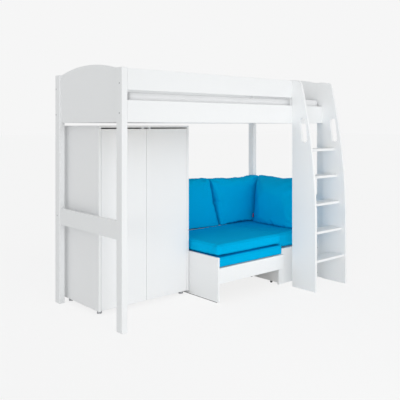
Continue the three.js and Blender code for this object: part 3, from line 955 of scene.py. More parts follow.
@dataclass
class Cushion:
    """A stuffed cover with a front, a back and a strip of boxing between its two seams.

    It starts as a rounded box inside its frame solid, is swollen by a cloth simulation and is
    then pressed back inside the solid's planes. Seams and folds come last.

    Attributes:
        name: the piece's name.
        node: the frame solid that it stands for.
        body: what it rides on.
        facing: where its front looks.
        filling: how it is stuffed.
        material: its cover's material.
        slot: the record's slot of its finish; not used.
        rim: the thickness at its edge; the rest of its solid's thickness is its crown.
        edge: the radius of its edges.
        draw: how far its sides pull in between the corners.
        folds: the height of the folds that run from its corners.
        cell: the size of a cell of its cover.
        peak: where up its height it is thickest, from -1 to 1.
        head: how much of the fall to the rim its upper edge makes, 1 for all of it.
        foot: how much of it its lower edge makes.
        foot_edge: the radius of its lower edge, where that rests on something.
        side: how much of the fall its left and right edges make.
        settle: how much less of it they make at the foot.
        ripple: how far its upper edge waves.
        waves: the two waves of that edge, in radians a half width.
        reach: how far it starts outside its solid's outline, to be pressed back by its neighbours.
        lean_left: how far the top left corner lies right of the bottom left one.
        lean_right: how far the top right corner lies right of the bottom right one.
        seed: what the small differences between cushions are drawn from.
        seam_width: how wide a seam is.
        seam_depth: how deep a seam is drawn in.
        clearance: how far it stays inside its solid's box.
        press: how near to its solid's planes the cover starts to be pressed flat.
        creasing: how its cover creases.
    """

    name: str
    node: str
    body: str
    facing: Facing
    filling: Filling
    material: bpy.types.Material
    slot: str
    rim: float
    edge: float = 0.014
    draw: float = 0.004
    folds: float = 0.0016
    cell: float = 0.0094
    peak: float = 0.0
    head: float = 1.0
    foot: float = 1.0
    foot_edge: Optional[float] = None
    side: float = 1.0
    settle: float = 0.0
    ripple: float = 0.0
    waves: tuple[float, float] = (5.3, 9.1)
    reach: float = 0.0
    lean_left: float = 0.0
    lean_right: float = 0.0
    seed: int = 1
    seam_width: float = 0.005
    seam_depth: float = 0.0018
    clearance: float = 0.0004
    press: float = 0.004
    creasing: Creasing = Creasing()

    def __post_init__(self) -> None:
        """Reads the place of the frame solid in the cushion's own axes."""
        self.axes = np.array(self.facing.value, float)
        ends = np.array(corners_of(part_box(self.node))) @ self.axes.T
        self.low = ends.min(axis=0) + self.clearance
        self.high = ends.max(axis=0) - self.clearance
        self.size = self.high - self.low
        cells = np.maximum(4, np.round(self.size / self.cell)).astype(int)
        self.unit, self.quads = lattice(tuple(int(n) for n in cells))
        self.points = self._shaped(0.0, 0.0)

    def _outline(self) -> np.ndarray:
        """The four corners of the outline: bottom left, bottom right, top right, top left."""
        (left, low, _), (right, high, _) = self.low, self.high
        lean_in = max(0.0, -self.lean_left)
        lean_out = max(0.0, self.lean_right)
        return np.array(
            [
                (left + lean_in, low),
                (right - lean_out, low),
                (right - lean_out + self.lean_right, high),
                (left + lean_in + self.lean_left, high),
            ]
        )

    def _planes(self) -> list[Plane]:
        """The planes that the cushion stays inside, in its own axes."""
        corners = self._outline()
        planes = []
        for start, end in zip(corners, np.roll(corners, -1, axis=0)):
            along = unit_vector(end - start)
            planes.append((np.array([*start, 0.0]), np.array([-along[1], along[0], 0.0])))
        for level, inward in ((self.low[2], 1.0), (self.high[2], -1.0)):
            planes.append((np.array([0.0, 0.0, level]), np.array([0.0, 0.0, inward])))
        return planes

    def _off_middle(self) -> np.ndarray:
        """How far out each point lies on the outline: 0 in its middle, 1 at its edge."""
        return np.abs(self.unit[:, :2]).max(axis=1)

    def _rounded(self) -> np.ndarray:
        """The unit lattice with its edges rounded.

        A point is moved onto a ball round the nearest point of the box that is smaller by the
        edge radius, which changes evenly to the foot's below the middle.

        Returns:
            The points, in -1 to 1.
        """
        half = self.size / 2
        flat = self.unit * half
        foot_edge = self.edge if self.foot_edge is None else self.foot_edge
        sunk = np.clip(-self.unit[:, 1:2], 0, 1)
        radius = self.edge + (foot_edge - self.edge) * sunk
        core = np.clip(flat, radius - half, half - radius)
        out = flat - core
        length = np.maximum(np.linalg.norm(out, axis=1, keepdims=True), 1e-9)
        return (core + out / length * radius) / half

    def _dome(self, u: np.ndarray, v: np.ndarray) -> np.ndarray:
        """The share of the crown at a place of the front.

        It is ((1 - |s u|^3)(1 - |f|^3))^0.6. s is the side share, less what has settled, which
        grows as the sixth power of the way down. f runs from 0 at the peak to the head share
        at the upper edge and the foot share at the lower one.

        Args:
            u: the place across, from -1 to 1.
            v: the place up, from -1 to 1.

        Returns:
            The share, from 0 to 1.
        """
        over = (v - self.peak) / (1 - self.peak) * self.head
        under = (self.peak - v) / (1 + self.peak) * self.foot
        fall = np.where(v > self.peak, over, under)
        across = np.abs(u) * (self.side - self.settle * ((1 - v) / 2).clip(0, 1) ** 6)
        return ((1 - across**3).clip(0) * (1 - fall**3).clip(0)) ** 0.6

    def _shaped(self, reach: float, sink: float) -> np.ndarray:
        """The cushion before it is simulated.

        Across the outline it is the blend of four corners, from which its sides pull in by
        draw * (1 - v^2), and its boxing by half the draw in the middle of its thickness. Its
        upper edge drops by up to the ripple, as two cosines along it add up. Its back is flat and
        its thickness is the rim plus the crown times the dome.

        Args:
            reach: how far its outline starts outside its solid.
            sink: how far its front starts inside it.

        Returns:
            The points in the cushion's own axes.
        """
        u, v, w = self._rounded().T
        half_width, half_height = self.size[:2] / 2
        boxing_pull = 0.5 * self.draw * (1 - w**2)
        u = u * (1 + (reach - self.draw * (1 - v**2) - boxing_pull) / half_width)
        v = v * (1 + (reach - self.draw * (1 - u**2) - boxing_pull) / half_height)
        corners = self._outline()
        across, up = (u + 1) / 2, (v + 1) / 2
        weights = [(1 - across) * (1 - up), across * (1 - up), across * up, (1 - across) * up]
        flat = sum(weight[:, None] * corner for weight, corner in zip(weights, corners))
        slow, fast = self.waves
        wave = np.cos(slow * u + self.seed) + np.cos(fast * u - self.seed)
        flat[:, 1] -= self.ripple * (0.5 + 0.25 * wave) * up.clip(0, 1) ** 4
        crown = self.size[2] - self.rim
        thickness = self.rim + crown * self._dome(u, v) - sink
        return np.column_stack([flat, self.low[2] + (w + 1) / 2 * thickness])

    def start_cloth(self) -> None:
        """Places the cover with its Cloth modifier, held by the middle of its back."""
        filling = self.filling
        self.points = self._shaped(self.reach, filling.sunk * filling.cap)
        surface = Surface(self.points @ self.axes, [self.quads])
        self.cover = surface.placed(f"{self.name}_cloth", self.material)
        held = np.flatnonzero((self._off_middle() < filling.held) & (self.unit[:, 2] < -ON_FACE))
        group = self.cover.vertex_groups.new(name="held")
        group.add(held.tolist(), 1.0, "REPLACE")
        cloth = self.cover.modifiers.new("cloth", "CLOTH")
        cloth.settings.quality = filling.quality
        cloth.settings.mass = filling.mass
        cloth.settings.tension_stiffness = filling.tension
        cloth.settings.compression_stiffness = filling.compression
        cloth.settings.shear_stiffness = filling.shear
        cloth.settings.bending_stiffness = filling.stiffness
        cloth.settings.use_pressure = True
        cloth.settings.uniform_pressure_force = filling.pressure
        cloth.settings.shrink_min = -filling.slack
        cloth.settings.vertex_group_mass = "held"
        cloth.settings.effector_weights.gravity = 0.0
        cloth.collision_settings.use_collision = False
        cloth.point_cache.frame_start = 1
        cloth.point_cache.frame_end = CLOTH_STEPS

    def read_cloth(self) -> None:
        """Takes the swollen points over, with each move limited to the filling's cap."""
        evaluated = self.cover.evaluated_get(bpy.context.evaluated_depsgraph_get()).data
        flat = np.empty(self.points.size, np.float32)
        evaluated.vertices.foreach_get("co", flat)
        moved = flat.reshape(-1, 3).astype(float) @ self.axes.T - self.points
        length = np.maximum(np.linalg.norm(moved, axis=1, keepdims=True), 1e-9)
        cap = self.filling.cap
        self.points = self.points + moved / length * cap * np.tanh(length / cap)

    def drop_cloth(self) -> None:
        """Removes the simulated cover."""
        mesh = self.cover.data
        bpy.data.objects.remove(self.cover)
        bpy.data.meshes.remove(mesh)

    def _folds(self, points: np.ndarray) -> np.ndarray:
        """Folds that run from the corners, gathers along the seams and broad dents.

        At distance r and angle a from a corner a fold is cos(n a) * (r / s) * exp(1 - r / s).
        A gather is a sine along the outline that fades away from the seam. The dents are one
        sine across times one up.

        Args:
            points: the points in the cushion's own axes.

        Returns:
            How far each point moves outwards.
        """
        draws = np.random.default_rng(self.seed)
        creasing = self.creasing
        height = np.zeros(len(points))
        for corner in self._outline():
            away = points[:, :2] - corner
            distance = np.linalg.norm(away, axis=1) / draws.uniform(*creasing.reach)
            angle = np.arctan2(away[:, 1], away[:, 0])
            count = draws.integers(*creasing.count)
            wave = np.cos(count * angle + draws.uniform(0, PHASE_SPAN))
            height += self.folds * wave * distance * np.exp(1 - distance)
        along = points[:, 0] + points[:, 1]
        edge = np.exp(-(((1 - self._off_middle()) * creasing.gather_fade) ** 2))
        for length in creasing.gathers:
            wave = np.sin(2 * math.pi * along / length + draws.uniform(0, PHASE_SPAN))
            height += creasing.gather_share * self.folds * edge * wave
        dent = np.ones(len(points))
        for axis, pace in enumerate(creasing.dents):
            dent *= np.sin(points[:, axis] * pace + draws.uniform(0, PHASE_SPAN))
        return height + creasing.dent_share * self.folds * dent

    def _seams(self) -> np.ndarray:
        """How near each point lies to the seams round the front and the back, from 0 to 1.

        It is exp(-(d / width)^2), with d the distance in thickness to where the rounded edge
        begins, on the boxing only.

        Returns:
            The nearness.
        """
        half = self.size[2] / 2
        level = (np.abs(self.unit[:, 2]) * half - (half - self.edge)) / self.seam_width
        return np.where(self._off_middle() > ON_FACE, np.exp(-(level**2)), 0.0)

    def _quilted(self, points: np.ndarray) -> tuple[np.ndarray, dict[str, np.ndarray]]:
        """The quilting's depth and the numbers that its finish reads: a plain cushion has none."""
        return np.zeros(len(points)), {}

    def build(self) -> bpy.types.Object:
        """Makes the finished cushion.

        Returns:
            The piece.
        """
        seam = self._seams()
        groove, numbers = self._quilted(self.points)
        out = point_normals(self.points, self.quads)
        lift = self._folds(self.points) - self.seam_depth * seam - groove
        points = kept_inside(self.points + out * lift[:, None], self._planes(), self.press)
        # The seam nearness is stored for the cover's finish, which paints shade along the seams.
        surface = Surface(points @ self.axes, [self.quads], {"seam": seam, **numbers})
        piece = surface.placed(self.name, self.material)
        fine = piece.modifiers.new("fine", "SUBSURF")
        fine.levels = fine.render_levels = 1
        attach(piece, self.body)
        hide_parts(self.node)
        LOG.info("%s: %d points, stands for %s", self.name, len(points), self.node)
        return piece


@dataclass
class QuiltedMattress(Cushion):
    """A mattress: a cushion whose two faces are quilted in long waves.

    Attributes:
        quilting: the waves.
        plain_edge: how far in from its edge a face becomes quilted, as a share of its half size.
    """

    quilting: Quilting = Quilting()
    plain_edge: float = 0.05

    def _quilted(self, points: np.ndarray) -> tuple[np.ndarray, dict[str, np.ndarray]]:
        """The quilting of both faces: the cloth is drawn in by depth * cos^2(pi * phase).

        Args:
            points: the points in the mattress's own axes.

        Returns:
            How deep the cloth is drawn in, and how fully each point is quilted, from 0 to 1.
        """
        quilting = self.quilting
        swing = quilting.height * np.sin(2 * math.pi * points[:, 0] / quilting.length)
        phase = (points[:, 1] + swing) / quilting.pitch
        face = np.abs(self.unit[:, 2]) > ON_FACE
        quilted = face * ((1 - self._off_middle()) / self.plain_edge).clip(0, 1)
        return quilting.depth * quilted * np.cos(math.pi * phase) ** 2, {"quilt": quilted}


def swell(cushions: Sequence[Cushion]) -> None:
    """Runs the cloth simulation of all the covers together."""
    for cushion in cushions:
        cushion.start_cloth()
    for step in range(1, CLOTH_STEPS + 1):
        bpy.context.scene.frame_set(step)
    for cushion in cushions:
        cushion.read_cloth()
    bpy.context.scene.frame_set(1)
    for cushion in cushions:
        cushion.drop_cloth()
    LOG.info("%d covers are swollen", len(cushions))


# Sub-assemblies


def dress(frame: Frame, material: bpy.types.Material, *nodes: str) -> None:
    """Gives frame solids a finish.

    Args:
        material: the finish.
        nodes: the names of the solids.
    """
    for node in nodes:
        for slot in frame["nodes"][node].material_slots:
            slot.material = material
        LOG.info("%s: %s", node, material.name)


def fitted(piece: bpy.types.Object, body: str) -> bpy.types.Object:
    """Lets a small rigid piece ride on a body."""
    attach(piece, body)
    LOG.info("%s: rides on %s", piece.name, body)
    return piece


class SubAssembly:
    """A group of the piece's parts."""

    def dress(self, frame: Frame, finishes: Finishes) -> None:
        """Gives the group's solids their finishes."""
        raise NotImplementedError

    def cushions(self, finishes: Finishes) -> list[Cushion]:
        """The group's soft goods: none, unless a group has its own."""
        return []

    def build(self, finishes: Finishes) -> None:
        """Makes the group's small fittings: none, unless a group has its own."""


@dataclass
class BedFrame(SubAssembly):
    """Posts, arched end panels, rails, slats, mattress and the caps over the bed bolts.

    Attributes:
        cap_radius: the radius of a cap.
        cap_height: how far a cap stands out.
        cap_dome: a cap's outline, as shares of its radius and its height.
        cap_levels: the heights of the upper caps.
        front_cap_inset: how far the front posts' caps lie behind those posts' front.
        back_cap_inset: how far the back posts' caps lie before those posts' back.
        lower_cap: how far the lower cap of a back post lies before its back, and its height.
    """

    cap_radius: float = 0.0068
    cap_height: float = 0.0008
    cap_dome: Outline = ((1.0, -0.3), (1.0, 0.25), (0.93, 0.7), (0.7, 1.0), (0.35, 0.92), (0.1, 0.8))
    cap_levels: tuple[float, float] = (1.505, 1.71)
    front_cap_inset: float = 0.034
    back_cap_inset: float = 0.016
    lower_cap: tuple[float, float] = (0.033, 0.7)

    def dress(self, frame: Frame, finishes: Finishes) -> None:
        """Gives the solids their finishes."""
        posts = [f"post_{end}_{side}" for end in ("front", "back") for side in ("left", "right")]
        dress(frame, finishes.paint[Grain.ALONG_Z], *posts, "guard_upright")
        ends = ("headboard_panel", "footboard_panel", "lower_rail_head", "lower_rail_foot")
        dress(frame, finishes.paint[Grain.ALONG_Y], *ends)
        rails = ("side_rail", "guard_rail", "ledger")
        long_parts = [f"{part}_{side}" for part in rails for side in ("front", "back")]
        dress(frame, finishes.paint[Grain.ALONG_X], *long_parts)
        dress(frame, finishes.pine[Grain.ALONG_Y], "bed_slats")

    def cushions(self, finishes: Finishes) -> list[Cushion]:
        """The mattress."""
        mattress = QuiltedMattress(
            "quilted_mattress",
            "mattress",
            "frame",
            Facing.UP,
            Filling(pressure=3.0, slack=0.015, stiffness=4.0, cap=0.006, tightness=0.9),
            finishes.ticking,
            "mattress_fabric",
            rim=0.147,
            edge=0.016,
            draw=0.002,
            folds=0.0012,
            cell=0.018,
            reach=0.003,
            seed=3,
            seam_width=0.008,
            seam_depth=0.0012,
            quilting=finishes.quilting,
        )
        return [mattress]

    def build(self, finishes: Finishes) -> None:
        """Makes the bolt caps."""
        low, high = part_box("post_front_left")[0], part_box("post_back_right")[1]
        front_y, back_y = low.y + self.front_cap_inset, high.y - self.back_cap_inset
        inset, level = self.lower_cap
        spots = [(y, z) for y in (front_y, back_y) for z in self.cap_levels]
        spots.append((high.y - inset, level))
        for place, x, outward in (("head", low.x, -1.0), ("foot", high.x, 1.0)):
            caps = [self._cap(x, y, z, outward) for y, z in spots]
            piece = sum(caps[1:], caps[0]).placed(f"bolt_caps_{place}", finishes.cap)
            fitted(piece, "frame")

    def _cap(self, x: float, y: float, z: float, outward: float) -> Surface:
        """A shallow domed cap on a post's end face.

        Args:
            x: the face's plane.
            y: the cap's middle along Y.
            z: the cap's middle height.
            outward: 1 where the face looks along +X, -1 where it looks along -X.

        Returns:
            The cap.
        """
        dome = [(out * self.cap_radius, up * self.cap_height) for out, up in self.cap_dome]
        axes = ((0, outward, 0), (0, 0, 1), (outward, 0, 0))
        return turned(dome, CAP_STEPS).mapped(axes).moved((x, y, z))


@dataclass
class Ladder(SubAssembly):
    """Two curved stringers, each with a hand slot, and the treads between them.

    Attributes:
        treads: how many treads there are.
    """

    treads: int = 5

    def dress(self, frame: Frame, finishes: Finishes) -> None:
        """Gives the solids their finishes."""
        dress(frame, finishes.paint[Grain.ALONG_Z], "ladder_stringer_left", "ladder_stringer_right")
        steps = [f"ladder_tread_{step + 1}" for step in range(self.treads)]
        dress(frame, finishes.paint[Grain.ALONG_X], *steps)


@dataclass
class Wardrobe(SubAssembly):
    """Carcass, two doors on concealed hinges, shelf, hanging rail, catches and round feet.

    Attributes:
        catch_width: the width of a catch.
        catch_apart: the distance between the middles of the two catches.
        catch_set_back: how far a catch's tongue lies behind the doors' front.
        catch_depth: how deep the body of a catch is.
        catch_drop: how far its body hangs behind the door.
        catch_gap: its clearance to the door, and the ease of its edges.
        plate_length: the length of a hinge plate.
        plate_width: its height on the side.
        plate_rise: its thickness.
        plate_seat: its gap to the side.
        plate_step: the thickness of its edges, as a share of its own.
        plate_land: the width of its raised middle, as a share of its own.
        plate_behind_door: how far behind the door it starts.
        screw_places: where its screws are, as shares of its length.
        screw_head: the outline of a screw head.
    """

    catch_width: float = 0.018
    catch_apart: float = 0.064
    catch_set_back: float = 0.004
    catch_depth: float = 0.03
    catch_drop: float = 0.014
    catch_gap: float = 0.001
    plate_length: float = 0.05
    plate_width: float = 0.016
    plate_rise: float = 0.0026
    plate_seat: float = 0.0002
    plate_step: float = 0.35
    plate_land: float = 0.6
    plate_behind_door: float = 0.0245
    screw_places: tuple[float, float] = (0.3, 0.75)
    screw_head: Outline = (
        (0.0036, -0.0008),
        (0.0036, 0.0002),
        (0.003, 0.0007),
        (0.0012, 0.0007),
        (0.001, 0.0002),
    )

    def dress(self, frame: Frame, finishes: Finishes) -> None:
        """Gives the solids their finishes."""
        sides = ("left", "right")
        upright = [f"{part}_{side}" for part in ("wardrobe_side", "door") for side in sides]
        dress(frame, finishes.board[Grain.ALONG_Z], *upright, "wardrobe_back")
        lying = [f"wardrobe_{part}" for part in ("top", "bottom", "shelf")]
        dress(frame, finishes.board[Grain.ALONG_X], *lying)
        feet = [f"wardrobe_foot_{end}_{side}" for end in ("front", "back") for side in sides]
        hinges = [f"door_{side}_hinge_{end}" for side in sides for end in ("top", "bottom")]
        dress(frame, finishes.steel, "hanging_rail", *feet, *hinges)

    def build(self, finishes: Finishes) -> None:
        """Makes the hinge plates and the catches."""
        self._add_plates(finishes)
        self._add_catches(finishes)

    def _add_catches(self, finishes: Finishes) -> None:
        """Makes the two white catches under the top, whose tongues show in the doors' top gap.

        A catch is a side view carried along X: a body behind the door and a tongue over it.
        """
        (_, front, _), (left_end, back, door_top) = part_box("door_left")
        right_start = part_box("door_right")[0].x
        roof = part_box("wardrobe_top")[0].z - self.catch_gap / 2
        tongue, foot = door_top + self.catch_gap, door_top - self.catch_drop
        near, behind = front + self.catch_set_back, back + self.catch_gap
        far, ease = behind + self.catch_depth, self.catch_gap
        section = np.array(
            [
                (near, roof),
                (near, tongue + ease),
                (near + ease, tongue),
                (behind, tongue),
                (behind, foot + ease),
                (behind + ease, foot),
                (far - ease, foot),
                (far, foot + ease),
                (far, roof),
            ]
        )
        middle = (left_end + right_start) / 2
        for side, shift in (("left", -self.catch_apart / 2), ("right", self.catch_apart / 2)):
            ends = (middle + shift - self.catch_width / 2, middle + shift + self.catch_width / 2)
            rows = np.array([((x, 0, 0), (0, 1, 0), (0, 0, 1)) for x in ends], float)
            catch = carried(section, rows)
            piece = catch.placed(f"door_catch_{side}", finishes.catch, smooth=False)
            fitted(piece, "frame")

    def _add_plates(self, finishes: Finishes) -> None:
        """Makes the hinge plates on the sides' inner faces."""
        for side, inward in (("left", 1.0), ("right", -1.0)):
            low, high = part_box(f"wardrobe_side_{side}")
            plane = high.x if inward > 0 else low.x
            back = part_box(f"door_{side}")[1].y + self.plate_behind_door
            for end in ("top", "bottom"):
                hinge_low, hinge_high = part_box(f"door_{side}_hinge_{end}")
                level = (hinge_low.z + hinge_high.z) / 2
                plate = self._plate(inward).moved((plane, back, level))
                piece = plate.placed(f"hinge_plate_{side}_{end}", finishes.steel, smooth=False)
                fitted(piece, "frame")

    def _plate(self, inward: float) -> Surface:
        """A screwed plate: a stepped section carried backwards, with two screw heads on it.

        Args:
            inward: 1 where the plate's face looks along +X, -1 where it looks along -X.

        Returns:
            The plate.
        """
        half, rise, length = self.plate_width / 2, self.plate_rise, self.plate_length
        lower = [
            (self.plate_seat, -half),
            (self.plate_step * rise, -half),
            (rise, -self.plate_land * half),
        ]
        upper = [(out, -up) for out, up in reversed(lower)]
        section = np.array(lower + upper) * (inward, 1.0)
        rows = np.array([((0, y, 0), (1, 0, 0), (0, 0, 1)) for y in (0.0, length)], float)
        plate = carried(section if inward < 0 else section[::-1], rows)
        axes = ((0, inward, 0), (0, 0, 1), (inward, 0, 0))
        for share in self.screw_places:
            screw = turned(self.screw_head, SCREW_STEPS).mapped(axes)
            plate = plate + screw.moved((inward * rise, share * length, 0))
        return plate


@dataclass
class PullOutSeat(SubAssembly):
    """The seat that slides forward: panel, rails, slats, leg, foam layer and main cushion."""

    def dress(self, frame: Frame, finishes: Finishes) -> None:
        """Gives the solids their finishes."""
        dress(frame, finishes.paint[Grain.ALONG_Y], "chair_side_left", "chair_side_right")
        dress(frame, finishes.paint[Grain.ALONG_X], "chair_front_rail", "chair_back_rail")
        dress(frame, finishes.paint[Grain.ALONG_Z], "chair_leg")
        dress(frame, finishes.pine[Grain.ALONG_X], "chair_slats")
        dress(frame, finishes.black, "chair_glide")

    def cushions(self, finishes: Finishes) -> list[Cushion]:
        """The foam layer and the seat cushion."""
        foam = Cushion(
            "foam_layer",
            "lower_foam",
            "pull_out_seat",
            Facing.UP,
            Filling(pressure=2.5, slack=0.008, stiffness=6.0, cap=0.005, tightness=0.95),
            finishes.blue,
            "blue_fabric",
            rim=0.082,
            edge=0.009,
            draw=0.001,
            folds=0.0007,
            cell=0.0105,
            reach=0.003,
            seed=5,
        )
        seat = Cushion(
            "seat_cushion",
            "main_seat_cushion",
            "pull_out_seat",
            Facing.UP,
            Filling(pressure=4.0, slack=0.022, stiffness=1.5, cap=0.012, tightness=0.85),
            finishes.blue,
            "blue_fabric",
            rim=0.091,
            edge=0.01,
            foot_edge=0.03,
            draw=0.002,
            folds=0.0015,
            cell=0.0096,
            head=0.3,
            seed=7,
            seam_depth=0.0007,
        )
        return [foam, seat]


@dataclass
class CornerUnit(SubAssembly):
    """The fixed boards of the corner seat, its cushions, glides and a plain tape tab.

    Attributes:
        glide_radius: the radius of a glide.
        glide_chamfer: the height of the slope at its foot.
        glide_seat: its gap to the board that it carries.
        glide_places: the board over each glide, and how far back under it the glide stands.
        return_half: half the thickness of the return board.
        split_lean: how far the joint between the two back cushions leans.
        tab_size: the tab's width, length and thickness.
        tab_height: its height over the floor.
        tab_band: how near to that height the cushion's edge is looked for.
        tab_sunk: how deep it is sewn in.
        tab_bend: the radius of its fold, in thicknesses.
        tab_outward: where it points.
        tab_upward: where its upper edge lies.
        cap_radius: the radius of a screw cap.
        cap_dome: a screw cap's outline: the share of its radius, and its height.
        cap_levels: the heights of the screw caps.
        cap_depth: how far behind the post's front they lie.
    """

    glide_radius: float = 0.011
    glide_chamfer: float = 0.002
    glide_seat: float = 0.0002
    glide_places: tuple[tuple[str, float], ...] = (
        ("unit_front", 0.9),
        ("unit_side", 0.35),
        ("unit_side", 0.93),
    )
    return_half: float = 0.009
    split_lean: float = -0.11
    tab_size: tuple[float, float, float] = (0.036, 0.03, 0.0016)
    tab_height: float = 0.517
    tab_band: float = 0.006
    tab_sunk: float = 0.006
    tab_bend: float = 1.1
    tab_outward: Place = (-0.72, -0.62, 0.3)
    tab_upward: Place = (0.1, 0.05, 1.0)
    cap_radius: float = 0.0042
    cap_dome: Outline = ((1.0, -0.0003), (1.0, 0.0002), (0.8, 0.0006), (0.3, 0.0007))
    cap_levels: tuple[float, float] = (0.037, 0.273)
    cap_depth: float = 0.065

    def dress(self, frame: Frame, finishes: Finishes) -> None:
        """Gives the solids their finishes."""
        long_boards = ("unit_front", "unit_top", "rear_ledge", "unit_back_board")
        dress(frame, finishes.paint[Grain.ALONG_X], *long_boards)
        dress(frame, finishes.paint[Grain.ALONG_Y], "unit_side", "unit_end_board")

    def cushions(self, finishes: Finishes) -> list[Cushion]:
        """The corner's seat cushion, the two back cushions and the one at the end."""
        corner = Cushion(
            "corner_seat_cushion",
            "end_seat_cushion",
            "frame",
            Facing.UP,
            Filling(pressure=4.0, slack=0.02, stiffness=1.5, cap=0.01, tightness=0.85),
            finishes.blue,
            "blue_fabric",
            rim=0.13,
            edge=0.012,
            foot_edge=0.032,
            draw=0.002,
            folds=0.0015,
            cell=0.0104,
            seed=11,
            seam_depth=0.0007,
        )
        plump = Filling(pressure=4.5, slack=0.03, stiffness=0.5, cap=0.022, tightness=0.65)
        backs = [
            Cushion(
                f"{side}_back_cushion",
                f"back_cushion_{side}",
                "frame",
                Facing.FORWARD,
                plump,
                finishes.blue,
                "blue_fabric",
                rim=0.116,
                edge=0.034,
                draw=0.006,
                folds=0.004,
                peak=-0.35,
                foot=0.3,
                foot_edge=0.009,
                side=0.85,
                ripple=0.009,
                reach=0.01,
                seed=seed,
                seam_depth=0.001,
                **{lean: self.split_lean},
            )
            for side, lean, seed in (("left", "lean_right", 13), ("right", "lean_left", 17))
        ]
        end = Cushion(
            "end_cushion",
            "end_back_cushion",
            "frame",
            Facing.LEFT,
            plump,
            finishes.blue,
            "blue_fabric",
            rim=0.046,
            edge=0.03,
            draw=0.005,
            folds=0.0045,
            peak=-0.4,
            foot=0.5,
            foot_edge=0.012,
            settle=0.12,
            ripple=0.009,
            reach=0.008,
            seed=19,
            seam_depth=0.001,
        )
        return [corner, *backs, end]

    def build(self, finishes: Finishes) -> None:
        """Makes the glides, the screw caps and the tab."""
        self._add_glides(finishes)
        self._add_caps(finishes)
        self._add_tab(finishes)

    def _add_glides(self, finishes: Finishes) -> None:
        """Makes the black glides that carry the return board and the side board."""
        r, top = self.glide_radius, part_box("unit_side")[0].z
        profile = [
            (0.8 * r, 0.0),
            (r, self.glide_chamfer),
            (r, 0.6 * top),
            (0.7 * r, 0.8 * top),
            (0.7 * r, top - self.glide_seat),
        ]
        for number, (node, share) in enumerate(self.glide_places):
            low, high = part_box(node)
            half = (high.x - low.x) / 2 if node == "unit_side" else self.return_half
            place = (low.x + half, low.y + share * (high.y - low.y), 0.0)
            glide = turned(profile, GLIDE_STEPS).moved(place)
            fitted(glide.placed(f"unit_glide_{number + 1}", finishes.black), "frame")

    def _add_caps(self, finishes: Finishes) -> None:
        """Makes the two small caps on the front right post's inner face."""
        low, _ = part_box("post_front_right")
        dome = [(share * self.cap_radius, height) for share, height in self.cap_dome]
        cap = turned(dome, SCREW_STEPS).mapped(((0, -1, 0), (0, 0, 1), (-1, 0, 0)))
        caps = [cap.moved((low.x, low.y + self.cap_depth, z)) for z in self.cap_levels]
        piece = (caps[0] + caps[1]).placed("unit_screw_caps", finishes.cap)
        fitted(piece, "frame")

    def _tab_root(self) -> np.ndarray:
        """Where the tab is sewn in: the end cushion's point of least x - y at the tab's height.

        Returns:
            The place.
        """
        cover = bpy.data.objects["end_cushion"].data
        points = np.empty(len(cover.vertices) * 3)
        cover.vertices.foreach_get("co", points)
        points = points.reshape(-1, 3)
        level = points[np.abs(points[:, 2] - self.tab_height) < self.tab_band]
        return level[np.argmin(level[:, 0] - level[:, 1])]

    def _tab_path(self) -> np.ndarray:
        """The middle line of the tab's tape: straight out, half a turn round, and back.

        Returns:
            Its points, n by 2: how far out each lies and how far across.
        """
        _, length, thickness = self.tab_size
        bend = thickness * self.tab_bend
        turn = np.linspace(-math.pi / 2, math.pi / 2, 9)
        fold = np.column_stack([(length - bend) + bend * np.cos(turn), bend * np.sin(turn)])
        return np.concatenate([[(0.0, -bend)], fold, [(0.0, bend)]])

    def _add_tab(self, finishes: Finishes) -> None:
        """Makes the plain tape tab in the seam between the right back cushion and the end one.

        It is a folded loop of tape: a flat section carried along the tab's path.
        """
        width, _, thickness = self.tab_size
        path = self._tab_path()
        tangent = np.gradient(path, axis=0)
        tangent /= np.linalg.norm(tangent, axis=1, keepdims=True)
        outward, upward = unit_vector(np.array(self.tab_outward)), np.array(self.tab_upward)
        upward = unit_vector(upward - outward * (upward @ outward))
        across = np.cross(upward, outward)
        place = self._tab_root() - outward * self.tab_sunk
        centres = place + path[:, :1] * outward + path[:, 1:] * across
        normals = tangent[:, 1:] * outward - tangent[:, :1] * across
        rises = np.tile(upward * width / 2, (len(path), 1))
        rows = np.stack([centres, normals * thickness / 2, rises], axis=1)
        square = np.array([(-1.0, -1.0), (1.0, -1.0), (1.0, 1.0), (-1.0, 1.0)])
        tape = carried(square, rows)
        tape.fields["seam"] = np.zeros(len(tape.points))
        piece = tape.placed("tape_tab", finishes.red, smooth=False)
        fitted(piece, "frame")


# Studio


@dataclass(frozen=True)
class Sun:
    """A broad, distant lamp.

    Attributes:
        name: its name.
        strength: its strength.
        width: how wide it looks, in degrees.
        height: how high it stands over the horizon, in degrees.
        turn: where it comes from, in degrees: 0 is the front, and more is further to its left.
    """

    name: str
    strength: float
    width: float
    height: float
    turn: float


@dataclass(frozen=True)
class SoftBox:
    """A square lamp.

    Attributes:
        name: its name.
        power: its power in watts.
        size: the length of its side.
        spread: how widely it shines, in degrees.
        place: where it stands.
        target: what it looks at.
    """

    name: str
    power: float
    size: float
    spread: float
    place: Place
    target: Place


